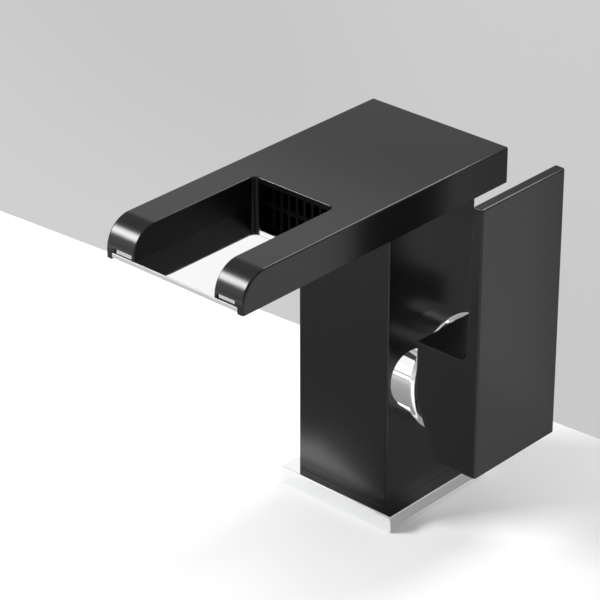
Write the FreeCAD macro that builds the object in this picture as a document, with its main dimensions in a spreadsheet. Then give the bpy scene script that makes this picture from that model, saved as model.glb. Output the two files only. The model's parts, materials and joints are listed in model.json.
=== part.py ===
import FreeCAD, Part
import math
import os
import Sketcher

# A single-lever waterfall tap for a wash basin, in millimetres.
# +X is the lever's side, -Y is the way the water falls, +Z is up.
# The origin is the middle of the tap hole, on top of the basin's deck.

os.makedirs("parts", exist_ok=True)
doc = FreeCAD.newDocument("WaterfallTap")
sheet = doc.addObject("Spreadsheet::Sheet", "Sizes")

drivingSizes = {
    # base plate and its seal on the deck
    "basePlateWidth": 56.2,
    "basePlateDepth": 57.4,
    "basePlateHeight": 7.2,
    "baseOpening": 17.0,
    "baseSealWidth": 49.0,
    "baseSealThick": 2.0,
    "locatingRim": 1.8,
    # column
    "columnWidth": 45.0,
    "columnDepth": 49.2,
    "columnHeight": 122.7,
    "hoseRoomWidth": 39.0,
    "hoseRoomDepth": 42.0,
    "hoseRoomHeight": 31.3,
    "waterRoomLeft": 10.5,
    "waterRoomRight": 17.5,
    "waterRoomDepth": 38.0,
    "waterRoomHeight": 41.0,
    # inlet block in the top of the hose room
    "inletBlockThick": 12.5,
    "inletSpread": 9.5,
    "inletRadius": 4.5,
    "inletDepth": 9.0,
    "risingBore": 3.6,
    "risingSetback": 5.8,
    # spout head
    "headWidth": 66.8,
    "headFront": 113.6,
    "headRear": 29.9,
    "headHeight": 14.4,
    "noseRadius": 11.3,
    "slotWidth": 39.0,
    "slotRear": 51.6,
    "slotCorner": 2.6,
    "sideWall": 2.9,
    "rearWall": 5.8,
    "chamberWidth": 34.0,
    "chamberHeight": 10.4,
    "chamberWaist": 24.0,
    "chamberRear": 18.0,
    "mouthHeight": 9.6,
    "mouthDepth": 5.6,
    # spill plate, its tabs and its screws
    "spillThick": 2.0,
    "spillSetback": 0.7,
    "tabMargin": 1.2,
    "tabHeight": 2.0,
    "tabThick": 2.0,
    "riserOpening": 8.0,
    "riserAcross": 3.5,
    "spillScrewFront": 92.0,
    "spillScrewRear": 44.0,
    "spillScrewRadius": 1.5,
    "spillScrewHead": 2.5,
    "spillScrewSink": 1.2,
    "spillScrewLength": 8.0,
    "spillDriveFlats": 2.0,
    "spillDriveDepth": 0.8,
    # seal under the spill plate, and the bolts that hold the head
    "headSealThick": 0.5,
    "boltAcross": 15.5,
    "boltDeep": 16.5,
    "boltRadius": 2.5,
    "boltHeadRadius": 4.0,
    "boltHeadHeight": 4.0,
    "boltDriveFlats": 4.0,
    "boltDriveDepth": 2.4,
    "boltGrip": 8.0,
    "threadRunout": 0.6,
    # diffuser in the mouth
    "diffuserSlots": 9,
    "diffuserSetback": 3.6,
    "diffuserSlotWidth": 2.6,
    "diffuserSlotHeight": 7.6,
    "diffuserSill": 0.8,
    "diffuserLipThick": 1.6,
    "diffuserLipRise": 0.7,
    # valve on its axis along X
    "axisHeight": 60.7,
    "socketFloor": 2.0,
    "socketRadius": 20.2,
    "nutSeat": 8.5,
    "portAcross": 8.0,
    "portRise": 5.0,
    "portDrop": 8.0,
    "portRadius": 3.0,
    "portSealWall": 1.6,
    "portSealThick": 1.6,
    "riserRadius": 3.8,
    "riserSetback": 5.6,
    "valveBaseThick": 3.6,
    "fixedDiscThick": 3.0,
    "discSeatGap": 0.7,
    "movingDiscThick": 3.0,
    "discTravel": 4.5,
    "bowlRim": 3.0,
    "bowlDrop": 2.0,
    "bowlDepth": 1.5,
    "driverThick": 3.0,
    "driverInset": 4.0,
    "driverPegRadius": 1.2,
    "driverPegInset": 3.1,
    "driverPegDepth": 1.0,
    "flangeGap": 1.3,
    "trackWall": 6.9,
    "carrierFlangeThick": 5.4,
    "carrierNeck": 12.9,
    "carrierEnd": 31.0,
    "housingWall": 2.2,
    "housingShoulder": 3.0,
    "neckWall": 1.8,
    "housingEnd": 27.0,
    "stemSlotHeight": 18.6,
    "ringGroove": 1.5,
    "ringPlace": 23.0,
    # lever stem and its pin
    "pinPlace": 20.0,
    "pinRadius": 2.0,
    "pinSetback": 0.7,
    "pinGrip": 0.02,
    "ballRadius": 2.6,
    "stemNeck": 2.3,
    "stemBarrel": 5.2,
    "stemSquare": 9.0,
    "stemEnd": 54.5,
    # retaining nut and bonnet
    "nutWall": 1.45,
    "nutEnd": 29.0,
    "wrenchSlotWidth": 5.0,
    "wrenchSlotDepth": 3.0,
    "wrenchSlotSetback": 2.5,
    "bonnetFit": 0.25,
    "bonnetWall": 1.5,
    "bonnetFaceWall": 1.8,
    "bonnetFace": 34.2,
    "bonnetEdge": 2.6,
    "bonnetOpening": 12.6,
    # lever
    "leverWidth": 47.3,
    "leverOuter": 64.5,
    "leverTop": 147.6,
    "leverTopThick": 4.5,
    "leverRootThick": 5.4,
    "blockInner": 35.6,
    "blockHeight": 47.8,
    "blockSlantIn": 9.2,
    "blockFillet": 3.6,
    "socketEnd": 55.0,
    "bossRadius": 10.0,
    "reliefRadius": 17.5,
    "reliefEnd": 56.0,
    "grubRibWidth": 9.0,
    "grubPlace": 50.0,
    "grubRadius": 2.5,
    "grubLength": 8.0,
    "grubTip": 1.0,
    "grubDriveFlats": 2.5,
    "grubDriveDepth": 3.0,
    "plugRadius": 3.2,
    "plugLength": 3.0,
    "plugNotchWidth": 0.8,
    "plugNotchDepth": 0.6,
    # fixing under the deck
    "deckThick": 20.0,
    "studAcross": 10.0,
    "studRadius": 4.0,
    "studDepth": 8.5,
    "studBelow": 52.0,
    "studSlotWidth": 1.2,
    "studSlotDepth": 2.0,
    "padRadius": 24.0,
    "padThick": 3.0,
    "clampThick": 2.5,
    "hoseSlotWidth": 29.0,
    "hoseSlotEnd": 3.0,
    "nutAcrossFlats": 13.0,
    "nutLength": 11.0,
    # roundings and clearances
    "softEdge": 0.9,
    "fineEdge": 0.4,
    "runningGap": 0.08,
    "fitGap": 0.1,
    "looseGap": 0.3,
    "threadGap": 0.05,
    "cutPast": 1.0,
}

for row, (word, value) in enumerate(drivingSizes.items(), start=1):
    sheet.set(f"A{row}", word)
    sheet.set(f"B{row}", str(value))
    sheet.setAlias(f"B{row}", word)
doc.recompute()


def sized(text):
    """Turn size names written as {name} into the sheet's cells."""
    for word in drivingSizes:
        text = text.replace("{" + word + "}", "Sizes." + word)
    return text


def number(text):
    """The present value of an expression."""
    return float(sheet.evalExpression(sized(text)))


# How far two measured values may differ and still count as the same.
tolerance = 0.02

# Places that several pieces share, worked out from the sizes above.
columnFoot = "{basePlateHeight}"
columnTop = "({basePlateHeight} + {columnHeight})"
hoseCeiling = "({basePlateHeight} + {hoseRoomHeight})"
inletFoot = f"({hoseCeiling} - {{inletBlockThick}})"
spillLow = f"({columnTop} + {{headSealThick}})"
spillTop = f"({columnTop} + {{headSealThick}} + {{spillThick}})"
headTop = f"({columnTop} + {{headHeight}})"
spillHalf = "({headWidth} / 2 - {sideWall})"
spillFront = "({headFront} - {spillSetback})"
spillRear = "({headRear} - {rearWall})"
spillScrewAcross = f"(({{slotWidth}} / 2 + {spillHalf}) / 2)"
tabInner = "({slotWidth} / 2 + {tabMargin})"
tabOuter = f"({spillHalf} - {{tabMargin}})"
valveFoot = "(0 - {socketFloor})"
fixedDiscFoot = "({valveBaseThick} - {socketFloor})"
fixedDiscTop = "({valveBaseThick} - {socketFloor} + {fixedDiscThick})"
movingDiscFoot = f"({fixedDiscTop} + {{threadGap}})"
movingDiscTop = f"({fixedDiscTop} + {{threadGap}} + {{movingDiscThick}})"
driverTop = f"({movingDiscTop} + {{driverThick}})"
carrierFoot = f"({movingDiscTop} + {{looseGap}})"
ballPlace = f"({movingDiscTop} + {{fitGap}} + {{threadGap}} + {{ballRadius}})"
flangeTop = f"({carrierFoot} + {{carrierFlangeThick}})"
shoulderFoot = f"({flangeTop} + {{looseGap}})"
shoulderTop = f"({flangeTop} + {{looseGap}} + {{housingShoulder}})"
housingOuter = "({socketRadius} - {looseGap})"
housingInner = "({socketRadius} - {looseGap} - {housingWall})"
fixedDiscRadius = f"({housingInner} - {{discSeatGap}})"
movingDiscRadius = f"({fixedDiscRadius} - {{discTravel}})"
carrierFlange = f"({housingInner} - {{flangeGap}})"
driverHalf = f"({carrierFlange} - {{trackWall}})"
driverHalfHeight = f"({movingDiscRadius} - {{driverInset}})"
pegAcross = f"({driverHalf} - {{driverPegInset}})"
neckBore = "({carrierNeck} + {runningGap})"
neckOuter = "({carrierNeck} + {runningGap} + {neckWall})"
nutThread = "({socketRadius} + {nutWall})"
bonnetRadius = f"({nutThread} + {{bonnetFit}} + {{bonnetWall}})"
blockLow = "({axisHeight} - {blockHeight} / 2)"
blockTop = "({axisHeight} + {blockHeight} / 2)"
stemHalf = "({stemSquare} / 2)"
pinHalf = "({carrierNeck} - {pinSetback})"
clampTop = "(0 - {deckThick} - {padThick})"
clampLow = "(0 - {deckThick} - {padThick} - {clampThick})"


def newBody(label):
    body = doc.addObject("PartDesign::Body", label)
    body.Label = label
    return body


def newSketch(body, name, role, offset="0", lift="0"):
    """A sketch on one of the body's origin planes, moved along its normal by offset."""
    plane = [item for item in body.Origin.OriginFeatures if item.Role == role][0]
    sketch = body.newObject("Sketcher::SketchObject", name)
    sketch.AttachmentSupport = [(plane, "")]
    sketch.MapMode = "FlatFace"
    sketch.setExpression("AttachmentOffset.Base.z", sized(offset))
    sketch.setExpression("AttachmentOffset.Base.y", sized(lift))
    return sketch


def fixPoint(sketch, edge, end, across, along):
    """Tie one end of an edge, or an arc's centre, to its two coordinates."""
    for kind, text in (("DistanceX", across), ("DistanceY", along)):
        index = sketch.addConstraint(Sketcher.Constraint(kind, edge, end, number(text)))
        sketch.setExpression(f"Constraints[{index}]", sized(text))


def outline(sketch, corners):
    """A closed outline of straight edges through corners given as expressions."""
    places = [FreeCAD.Vector(number(across), number(along), 0) for across, along in corners]
    first = sketch.GeometryCount
    count = len(corners)
    for step in range(count):
        sketch.addGeometry(Part.LineSegment(places[step], places[(step + 1) % count]), False)
    for step in range(count):
        following = first + (step + 1) % count
        sketch.addConstraint(Sketcher.Constraint("Coincident", first + step, 2, following, 1))
        fixPoint(sketch, first + step, 1, *corners[step])


def rectangle(sketch, left, right, low, high):
    outline(sketch, [(left, low), (right, low), (right, high), (left, high)])


def circle(sketch, across, along, radius):
    centre = FreeCAD.Vector(number(across), number(along), 0)
    ring = Part.Circle(centre, FreeCAD.Vector(0, 0, 1), number(radius))
    edge = sketch.addGeometry(ring, False)
    fixPoint(sketch, edge, 3, across, along)
    index = sketch.addConstraint(Sketcher.Constraint("Radius", edge, number(radius)))
    sketch.setExpression(f"Constraints[{index}]", sized(radius))


def pad(body, sketch, length, middle=False, backwards=False):
    feature = body.newObject("PartDesign::Pad", sketch.Name + "Pad")
    feature.Profile = sketch
    feature.Midplane = middle
    feature.Reversed = backwards
    feature.setExpression("Length", sized(length))
    sketch.Visibility = False
    doc.recompute()
    return feature


def pocket(body, sketch, depth, backwards=False):
    """Cut the sketch's outline into the body, and make sure that it cuts."""
    before = body.Shape.Volume
    feature = body.newObject("PartDesign::Pocket", sketch.Name + "Pocket")
    feature.Profile = sketch
    feature.Reversed = backwards
    feature.setExpression("Length", sized(depth))
    sketch.Visibility = False
    doc.recompute()
    if not body.Shape.Volume < before - tolerance:
        raise RuntimeError(f"{body.Label}: {sketch.Name} cuts nothing")
    return feature


def rounded(body, feature, radius, wanted):
    """Round the edges of a feature whose middle passes the test."""
    names = []
    for index, edge in enumerate(feature.Shape.Edges, start=1):
        middle = edge.valueAt((edge.FirstParameter + edge.LastParameter) / 2)
        if wanted(middle, edge):
            names.append(f"Edge{index}")
    if not names:
        raise RuntimeError(f"{body.Label}: no edge to round")
    fillet = body.newObject("PartDesign::Fillet", body.Name + "Rounding")
    fillet.Base = (feature, names)
    fillet.setExpression("Radius", sized(radius))
    doc.recompute()
    return fillet


def isNear(value, text):
    return abs(value - number(text)) < tolerance


def turned(label, profile):
    """A body turned about the valve's axis, from corners given as (place, radius)."""
    body = newBody(label)
    sketch = newSketch(body, label + "Profile", "XZ_Plane", lift="{axisHeight}")
    outline(sketch, profile)
    revolution = body.newObject("PartDesign::Revolution", label + "Turning")
    revolution.Profile = sketch
    revolution.ReferenceAxis = (sketch, ["H_Axis"])
    revolution.Angle = 360
    sketch.Visibility = False
    doc.recompute()
    return body


def portHoles(body, name, place, radius, depth, backwards=False):
    """Three round holes through a face at right angles to the valve's axis."""
    sketch = newSketch(body, name, "YZ_Plane", offset=place)
    for across, along in portPlaces:
        circle(sketch, across, along, radius)
    return pocket(body, sketch, depth, backwards)


def block(name, left, right, front, back, low, high):
    """A plain box between six places."""
    item = doc.addObject("Part::Box", name)
    item.setExpression("Length", sized(f"{right} - ({left})"))
    item.setExpression("Width", sized(f"{back} - ({front})"))
    item.setExpression("Height", sized(f"{high} - ({low})"))
    item.setExpression("Placement.Base.x", sized(left))
    item.setExpression("Placement.Base.y", sized(front))
    item.setExpression("Placement.Base.z", sized(low))
    return item


turnTo = {
    "X": FreeCAD.Rotation(FreeCAD.Vector(0, 1, 0), 90),
    "Y": FreeCAD.Rotation(FreeCAD.Vector(1, 0, 0), -90),
    "Z": FreeCAD.Rotation(),
}


def rod(name, axis, start, radius, length, tip=None):
    """A cylinder, or a cone where tip gives the far radius, from start along an axis."""
    item = doc.addObject("Part::Cone" if tip else "Part::Cylinder", name)
    item.setExpression("Radius1" if tip else "Radius", sized(radius))
    if tip:
        item.setExpression("Radius2", sized(tip))
    item.setExpression("Height", sized(length))
    item.Placement.Rotation = turnTo[axis]
    for letter, text in zip("xyz", start):
        item.setExpression(f"Placement.Base.{letter}", sized(text))
    return item


def hexagon(name, start, acrossFlats, length):
    """A six-sided bar standing along Z."""
    item = doc.addObject("Part::Prism", name)
    item.Polygon = 6
    item.setExpression("Circumradius", sized(f"({acrossFlats}) / sqrt(3)"))
    item.setExpression("Height", sized(length))
    for letter, text in zip("xyz", start):
        item.setExpression(f"Placement.Base.{letter}", sized(text))
    return item


def joined(name, pieces):
    item = doc.addObject("Part::MultiFuse", name)
    item.Shapes = pieces
    item.Refine = True
    return item


def without(name, base, tools):
    item = doc.addObject("Part::Cut", name)
    item.Base = base
    item.Tool = tools[0] if len(tools) == 1 else joined(name + "Tools", tools)
    return item


def group(name, pieces):
    item = doc.addObject("Part::Compound", name)
    item.Links = pieces
    return item


# The two inlets' ports, then the outlet's.
portPlaces = [
    ("0 - {portAcross}", "{axisHeight} + {portRise}"),
    ("{portAcross}", "{axisHeight} + {portRise}"),
    ("0", "{axisHeight} - {portDrop}"),
]
inletAcross = "(0 - {socketFloor} - {risingSetback})"
riserAcrossColumn = "(0 - {socketFloor} - {riserSetback})"
boltPlaces = [("0 - {boltAcross}", "0 - {boltDeep}"), ("0 - {boltAcross}", "{boltDeep}")]
spillScrewPlaces = [
    (f"{side}{spillScrewAcross}", f"0 - {{{deep}}}")
    for side in ("0 - ", "0 + ")
    for deep in ("spillScrewFront", "spillScrewRear")
]
inletPlaces = [(inletAcross, "0 - {inletSpread}"), (inletAcross, "{inletSpread}")]


# ---- pieces that stand on the deck ----

def makeBasePlate():
    body = newBody("base_plate")
    sketch = newSketch(body, "plateOutline", "XY_Plane")
    rectangle(sketch, "0 - {basePlateWidth} / 2", "{basePlateWidth} / 2",
              "0 - {basePlateDepth} / 2", "{basePlateDepth} / 2")
    plate = pad(body, sketch, "{basePlateHeight}")

    def onTheOutside(middle, edge):
        across = isNear(abs(middle.x), "{basePlateWidth} / 2")
        along = isNear(abs(middle.y), "{basePlateDepth} / 2")
        return (across or along) and middle.z > tolerance
    rounded(body, plate, "{fineEdge}", onTheOutside)
    rim = newSketch(body, "locatingRim", "XY_Plane", offset="{basePlateHeight}")
    rectangle(rim, "{fitGap} - {hoseRoomWidth} / 2", "{hoseRoomWidth} / 2 - {fitGap}",
              "{fitGap} - {hoseRoomDepth} / 2", "{hoseRoomDepth} / 2 - {fitGap}")
    pad(body, rim, "{locatingRim}")
    opening = newSketch(body, "tapOpening", "XY_Plane")
    circle(opening, "0", "0", "{baseOpening}")
    pocket(body, opening, "{basePlateHeight} + {locatingRim} + {cutPast}", backwards=True)
    seat = newSketch(body, "sealSeat", "XY_Plane")
    rectangle(seat, "0 - {baseSealWidth} / 2", "{baseSealWidth} / 2",
              "0 - {baseSealWidth} / 2", "{baseSealWidth} / 2")
    pocket(body, seat, "{baseSealThick}", backwards=True)


def makeBaseSeal():
    half = "({baseSealWidth} / 2 - {fitGap})"
    sheetPiece = block("baseSealSheet", f"0 - {half}", half, f"0 - {half}", half, "0", "{baseSealThick}")
    hole = rod("baseSealHole", "Z", ("0", "0", "0 - {cutPast}"), "{baseOpening} + {looseGap}",
               "{baseSealThick} + 2 * {cutPast}")
    without("base_seal", sheetPiece, [hole])


def newColumnPiece(label, low, height):
    """A length of the column with its standing edges rounded."""
    body = newBody(label)
    sketch = newSketch(body, label + "Outline", "XY_Plane", offset=low)
    rectangle(sketch, "0 - {columnWidth} / 2", "{columnWidth} / 2",
              "0 - {columnDepth} / 2", "{columnDepth} / 2")
    column = pad(body, sketch, height)

    def standing(middle, edge):
        return isNear(middle.z, f"{low} + ({height}) / 2")
    rounded(body, column, "{softEdge}", standing)
    return body


def makeSkirt():
    """The square tube round the hoses, clamped between base plate and column."""
    body = newColumnPiece("column_skirt", columnFoot, "{hoseRoomHeight}")
    hoseRoom = newSketch(body, "hoseRoom", "XY_Plane", offset=columnFoot)
    rectangle(hoseRoom, "0 - {hoseRoomWidth} / 2", "{hoseRoomWidth} / 2",
              "0 - {hoseRoomDepth} / 2", "{hoseRoomDepth} / 2")
    pocket(body, hoseRoom, "{hoseRoomHeight} + {cutPast}", backwards=True)


def makeColumn():
    body = newColumnPiece("body_column", hoseCeiling, "{columnHeight} - {hoseRoomHeight}")
    waterRoom = newSketch(body, "waterRoom", "XY_Plane", offset=columnTop)
    rectangle(waterRoom, "0 - {waterRoomLeft}", "{waterRoomRight}",
              "0 - {waterRoomDepth} / 2", "{waterRoomDepth} / 2")
    pocket(body, waterRoom, "{waterRoomHeight}")

    socket = newSketch(body, "valveSocket", "YZ_Plane", offset="{columnWidth} / 2")
    circle(socket, "0", "{axisHeight}", "{socketRadius}")
    pocket(body, socket, "{columnWidth} / 2 + {socketFloor}")
    nutSeat = newSketch(body, "nutSeat", "YZ_Plane", offset="{columnWidth} / 2")
    circle(nutSeat, "0", "{axisHeight}", f"{nutThread} + {{threadGap}}")
    pocket(body, nutSeat, "{nutSeat}")

    rising = newSketch(body, "risingBores", "XY_Plane", offset=hoseCeiling)
    for across, deep in inletPlaces:
        circle(rising, across, deep, "{risingBore}")
    risingEnd = "({axisHeight} + {portRise} + {portRadius} + {threadRunout})"
    pocket(body, rising, f"{risingEnd} - {hoseCeiling}", backwards=True)
    crossings = newSketch(body, "inletCrossings", "YZ_Plane", offset=valveFoot)
    for across, along in portPlaces[:2]:
        circle(crossings, across, along, "{portRadius}")
    pocket(body, crossings, f"{valveFoot} - {inletAcross}")

    outlet = newSketch(body, "outletCrossing", "YZ_Plane", offset=valveFoot)
    circle(outlet, *portPlaces[2], "{portRadius}")
    pocket(body, outlet, f"{valveFoot} - {riserAcrossColumn}")
    roomFloor = f"({columnTop} - {{waterRoomHeight}})"
    riser = newSketch(body, "outletRiser", "XY_Plane", offset=roomFloor)
    circle(riser, riserAcrossColumn, "0", "{riserRadius}")
    riserFoot = "({axisHeight} - {portDrop} - {portRadius} - {threadRunout})"
    pocket(body, riser, f"{roomFloor} - {riserFoot}")

    bolts = newSketch(body, "boltBores", "XY_Plane", offset=columnTop)
    for across, deep in boltPlaces:
        circle(bolts, across, deep, "{boltRadius} + {looseGap}")
    pocket(body, bolts, "{columnHeight} - {hoseRoomHeight} + {cutPast}")


def makeInletBlock():
    """The block that the hoses and the stud screw into, held up by the head's bolts."""
    body = newBody("inlet_block")
    sketch = newSketch(body, "blockOutline", "XY_Plane", offset=inletFoot)
    rectangle(sketch, "{fitGap} - {hoseRoomWidth} / 2", "{hoseRoomWidth} / 2 - {fitGap}",
              "{fitGap} - {hoseRoomDepth} / 2", "{hoseRoomDepth} / 2 - {fitGap}")
    pad(body, sketch, "{inletBlockThick}")
    threads = newSketch(body, "inletThreads", "XY_Plane", offset=inletFoot)
    for across, deep in inletPlaces:
        circle(threads, across, deep, "{inletRadius}")
    pocket(body, threads, "{inletDepth}", backwards=True)
    stud = newSketch(body, "studThread", "XY_Plane", offset=inletFoot)
    circle(stud, "{studAcross}", "0", "{studRadius}")
    pocket(body, stud, "{studDepth}", backwards=True)
    through = newSketch(body, "throughBores", "XY_Plane", offset=hoseCeiling)
    for across, deep in inletPlaces:
        circle(through, across, deep, "{risingBore}")
    for across, deep in boltPlaces:
        circle(through, across, deep, "{boltRadius} + {looseGap}")
    pocket(body, through, "{inletBlockThick} + {cutPast}")
    seats = newSketch(body, "ringSeats", "XY_Plane", offset=hoseCeiling)
    for across, deep in inletPlaces:
        circle(seats, across, deep, "{risingBore} + {portSealWall} + {fitGap}")
    pocket(body, seats, "{portSealThick}")


def makeInletSeals():
    seals = []
    for step, (across, deep) in enumerate(inletPlaces):
        under = f"({hoseCeiling} - {{portSealThick}})"
        outer = rod(f"inletSealOuter{step}", "Z", (across, deep, under + " + {threadGap}"),
                    "{risingBore} + {portSealWall}", "{portSealThick} - {threadGap}")
        bore = rod(f"inletSealBore{step}", "Z", (across, deep, under + " - {cutPast}"),
                   "{risingBore}", "{portSealThick} + 2 * {cutPast}")
        seals.append(without(f"inletSeal{step}", outer, [bore]))
    group("inlet_seals", seals)


def makeHeadSeal():
    lip = "{softEdge}"
    sheetPiece = block("headSealSheet", f"{lip} - {{columnWidth}} / 2", f"{{columnWidth}} / 2 - {lip}",
                       f"{lip} - {{columnDepth}} / 2", spillRear + " - {fitGap}", columnTop, spillLow)
    under = columnTop + " - {cutPast}"
    through = "{headSealThick} + 2 * {cutPast}"
    tools = [rod("headSealRiser", "Z", ("{riserAcross}", "0", under), "{riserOpening}", through)]
    for step, (across, deep) in enumerate(boltPlaces):
        tools.append(rod(f"headSealBolt{step}", "Z", (across, deep, under),
                         "{boltRadius} + {looseGap}", through))
    without("head_seal", sheetPiece, tools)


# ---- spout ----

def makeSpoutHead():
    body = newBody("spout_head")
    sketch = newSketch(body, "headSide", "YZ_Plane")
    low, high = columnTop, headTop
    front, rear = "0 - {headFront}", "{headRear}"
    noseLow = f"{high} - {{noseRadius}}"
    noseBack = "{noseRadius} - {headFront}"
    places = [(noseBack, high), (rear, high), (rear, low), (front, low), (front, noseLow)]
    points = [FreeCAD.Vector(number(across), number(along), 0) for across, along in places]
    for step in range(4):
        sketch.addGeometry(Part.LineSegment(points[step], points[step + 1]), False)
    centre = FreeCAD.Vector(number(noseBack), number(noseLow), 0)
    bow = Part.Circle(centre, FreeCAD.Vector(0, 0, 1), number("{noseRadius}"))
    nose = sketch.addGeometry(Part.ArcOfCircle(bow, math.pi / 2, math.pi), False)
    for step in range(3):
        sketch.addConstraint(Sketcher.Constraint("Coincident", step, 2, step + 1, 1))
    sketch.addConstraint(Sketcher.Constraint("Coincident", 3, 2, nose, 2))
    sketch.addConstraint(Sketcher.Constraint("Coincident", nose, 1, 0, 1))
    for step in range(4):
        fixPoint(sketch, step, 1, *places[step])
    fixPoint(sketch, 3, 2, *places[4])
    index = sketch.addConstraint(Sketcher.Constraint("Radius", nose, number("{noseRadius}")))
    sketch.setExpression(f"Constraints[{index}]", sized("{noseRadius}"))
    pad(body, sketch, "{headWidth}", middle=True)

    slot = newSketch(body, "waterSlot", "XY_Plane", offset=headTop)
    rectangle(slot, "0 - {slotWidth} / 2", "{slotWidth} / 2",
              "0 - {headFront} - {cutPast}", "0 - {slotRear}")
    slotCut = pocket(body, slot, "{headHeight}")

    def slotCorners(middle, edge):
        return (isNear(middle.y, "0 - {slotRear}") and isNear(abs(middle.x), "{slotWidth} / 2")
                and isNear(middle.z, f"{columnTop} + {{headHeight}} / 2"))
    corners = rounded(body, slotCut, "{slotCorner}", slotCorners)

    def outerTop(middle, edge):
        onTop = isNear(middle.z, headTop)
        outside = isNear(abs(middle.x), "{headWidth} / 2")
        atRear = isNear(middle.y, "{headRear}")
        curved = edge.Curve.TypeId == "Part::GeomCircle"
        return (outside and (onTop or atRear or curved)) or (onTop and atRear)
    shaped = rounded(body, corners, "{softEdge}", outerTop)

    def slotRim(middle, edge):
        inside = abs(middle.x) < number("{slotWidth} / 2") + tolerance
        onTop = isNear(middle.z, headTop) and middle.y < tolerance - number("{slotRear}")
        onNose = isNear(abs(middle.x), "{slotWidth} / 2") and middle.z > number(noseLow)
        return inside and (onTop or (onNose and edge.Curve.TypeId == "Part::GeomCircle"))
    rounded(body, shaped, "{fineEdge}", slotRim)

    plateSeat = newSketch(body, "plateSeat", "XY_Plane", offset=columnTop)
    rectangle(plateSeat, f"0 - {spillHalf} - {{fitGap}}", f"{spillHalf} + {{fitGap}}",
              "0 - {headFront} - {cutPast}", spillRear)
    pocket(body, plateSeat, "{headSealThick} + {spillThick}", backwards=True)
    chamber = newSketch(body, "waterChamber", "XY_Plane", offset=columnTop)
    half, waist = "({chamberWidth} / 2)", "0 - {chamberWaist}"
    outline(chamber, [
        (f"0 - {half}", "{mouthDepth} - {slotRear}"), (half, "{mouthDepth} - {slotRear}"),
        (half, "{chamberRear}"), ("0 - {waterRoomLeft}", "{chamberRear}"),
        ("0 - {waterRoomLeft}", waist), (f"0 - {half}", waist)])
    pocket(body, chamber, "{headSealThick} + {spillThick} + {chamberHeight}", backwards=True)
    mouth = newSketch(body, "waterMouth", "XY_Plane", offset=columnTop)
    rectangle(mouth, f"0 - {half}", half, "0 - {slotRear} - {cutPast}",
              "{mouthDepth} - {slotRear} + {cutPast}")
    pocket(body, mouth, "{headSealThick} + {spillThick} + {mouthHeight}", backwards=True)

    notches = newSketch(body, "tabNotches", "XY_Plane", offset=spillTop)
    for side in ("0 - ", "0 + "):
        inner = f"{side}({tabInner} - {{fitGap}})"
        outer = f"{side}({tabOuter} + {{fitGap}})"
        left, right = (outer, inner) if side == "0 - " else (inner, outer)
        rectangle(notches, left, right, "0 - {headFront} - {cutPast}",
                  f"{{tabThick}} + {{fitGap}} - {spillFront}")
    pocket(body, notches, "{tabHeight} + {fitGap}", backwards=True)

    screwHoles = newSketch(body, "screwThreads", "XY_Plane", offset=spillTop)
    for across, deep in spillScrewPlaces:
        circle(screwHoles, across, deep, "{spillScrewRadius} + {threadGap}")
    pocket(body, screwHoles, "{spillScrewLength} - {spillThick} + {threadRunout}", backwards=True)
    boltHoles = newSketch(body, "boltThreads", "XY_Plane", offset=spillTop)
    for across, deep in boltPlaces:
        circle(boltHoles, across, deep, "{boltRadius} + {threadGap}")
    pocket(body, boltHoles, "{boltGrip} + {threadRunout}", backwards=True)


def makeSpillPlate():
    body = newBody("spill_plate")
    sketch = newSketch(body, "spillOutline", "XY_Plane", offset=spillLow)
    rectangle(sketch, f"0 - {spillHalf}", spillHalf, f"0 - {spillFront}", spillRear + " - {fitGap}")
    plate = pad(body, sketch, "{spillThick}")

    def frontLip(middle, edge):
        return isNear(middle.y, f"0 - {spillFront}") and isNear(middle.x, "0")
    rounded(body, plate, "{fineEdge}", frontLip)
    tabs = newSketch(body, "frontTabs", "XY_Plane", offset=spillTop)
    for side in ("0 - ", "0 + "):
        inner, outer = f"{side}{tabInner}", f"{side}{tabOuter}"
        left, right = (outer, inner) if side == "0 - " else (inner, outer)
        rectangle(tabs, left, right, f"{{fineEdge}} + {{threadGap}} - {spillFront}",
                  f"{{tabThick}} - {spillFront}")
    pad(body, tabs, "{tabHeight}")
    riser = newSketch(body, "riserOpening", "XY_Plane", offset=spillTop)
    circle(riser, "{riserAcross}", "0", "{riserOpening}")
    for across, deep in boltPlaces:
        circle(riser, across, deep, "{boltRadius} + {looseGap}")
    for across, deep in spillScrewPlaces:
        circle(riser, across, deep, "{spillScrewRadius} + {fitGap}")
    pocket(body, riser, "{spillThick}")
    sinks = newSketch(body, "screwSinks", "XY_Plane", offset=spillLow)
    for across, deep in spillScrewPlaces:
        circle(sinks, across, deep, "{spillScrewHead} + {fitGap}")
    pocket(body, sinks, "{spillScrewSink}", backwards=True)


def makeSpillScrews():
    screws = []
    for step, (across, deep) in enumerate(spillScrewPlaces):
        head = rod(f"spillScrewHead{step}", "Z", (across, deep, spillLow),
                   "{spillScrewHead}", "{spillScrewSink} - {threadGap}")
        shank = rod(f"spillScrewShank{step}", "Z", (across, deep, spillLow),
                    "{spillScrewRadius}", "{spillScrewLength}")
        drive = hexagon(f"spillScrewDrive{step}", (across, deep, spillLow + " - {cutPast}"),
                        "{spillDriveFlats}", "{spillDriveDepth} + {cutPast}")
        whole = joined(f"spillScrewWhole{step}", [head, shank])
        screws.append(without(f"spillScrew{step}", whole, [drive]))
    group("spill_plate_screws", screws)


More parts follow.
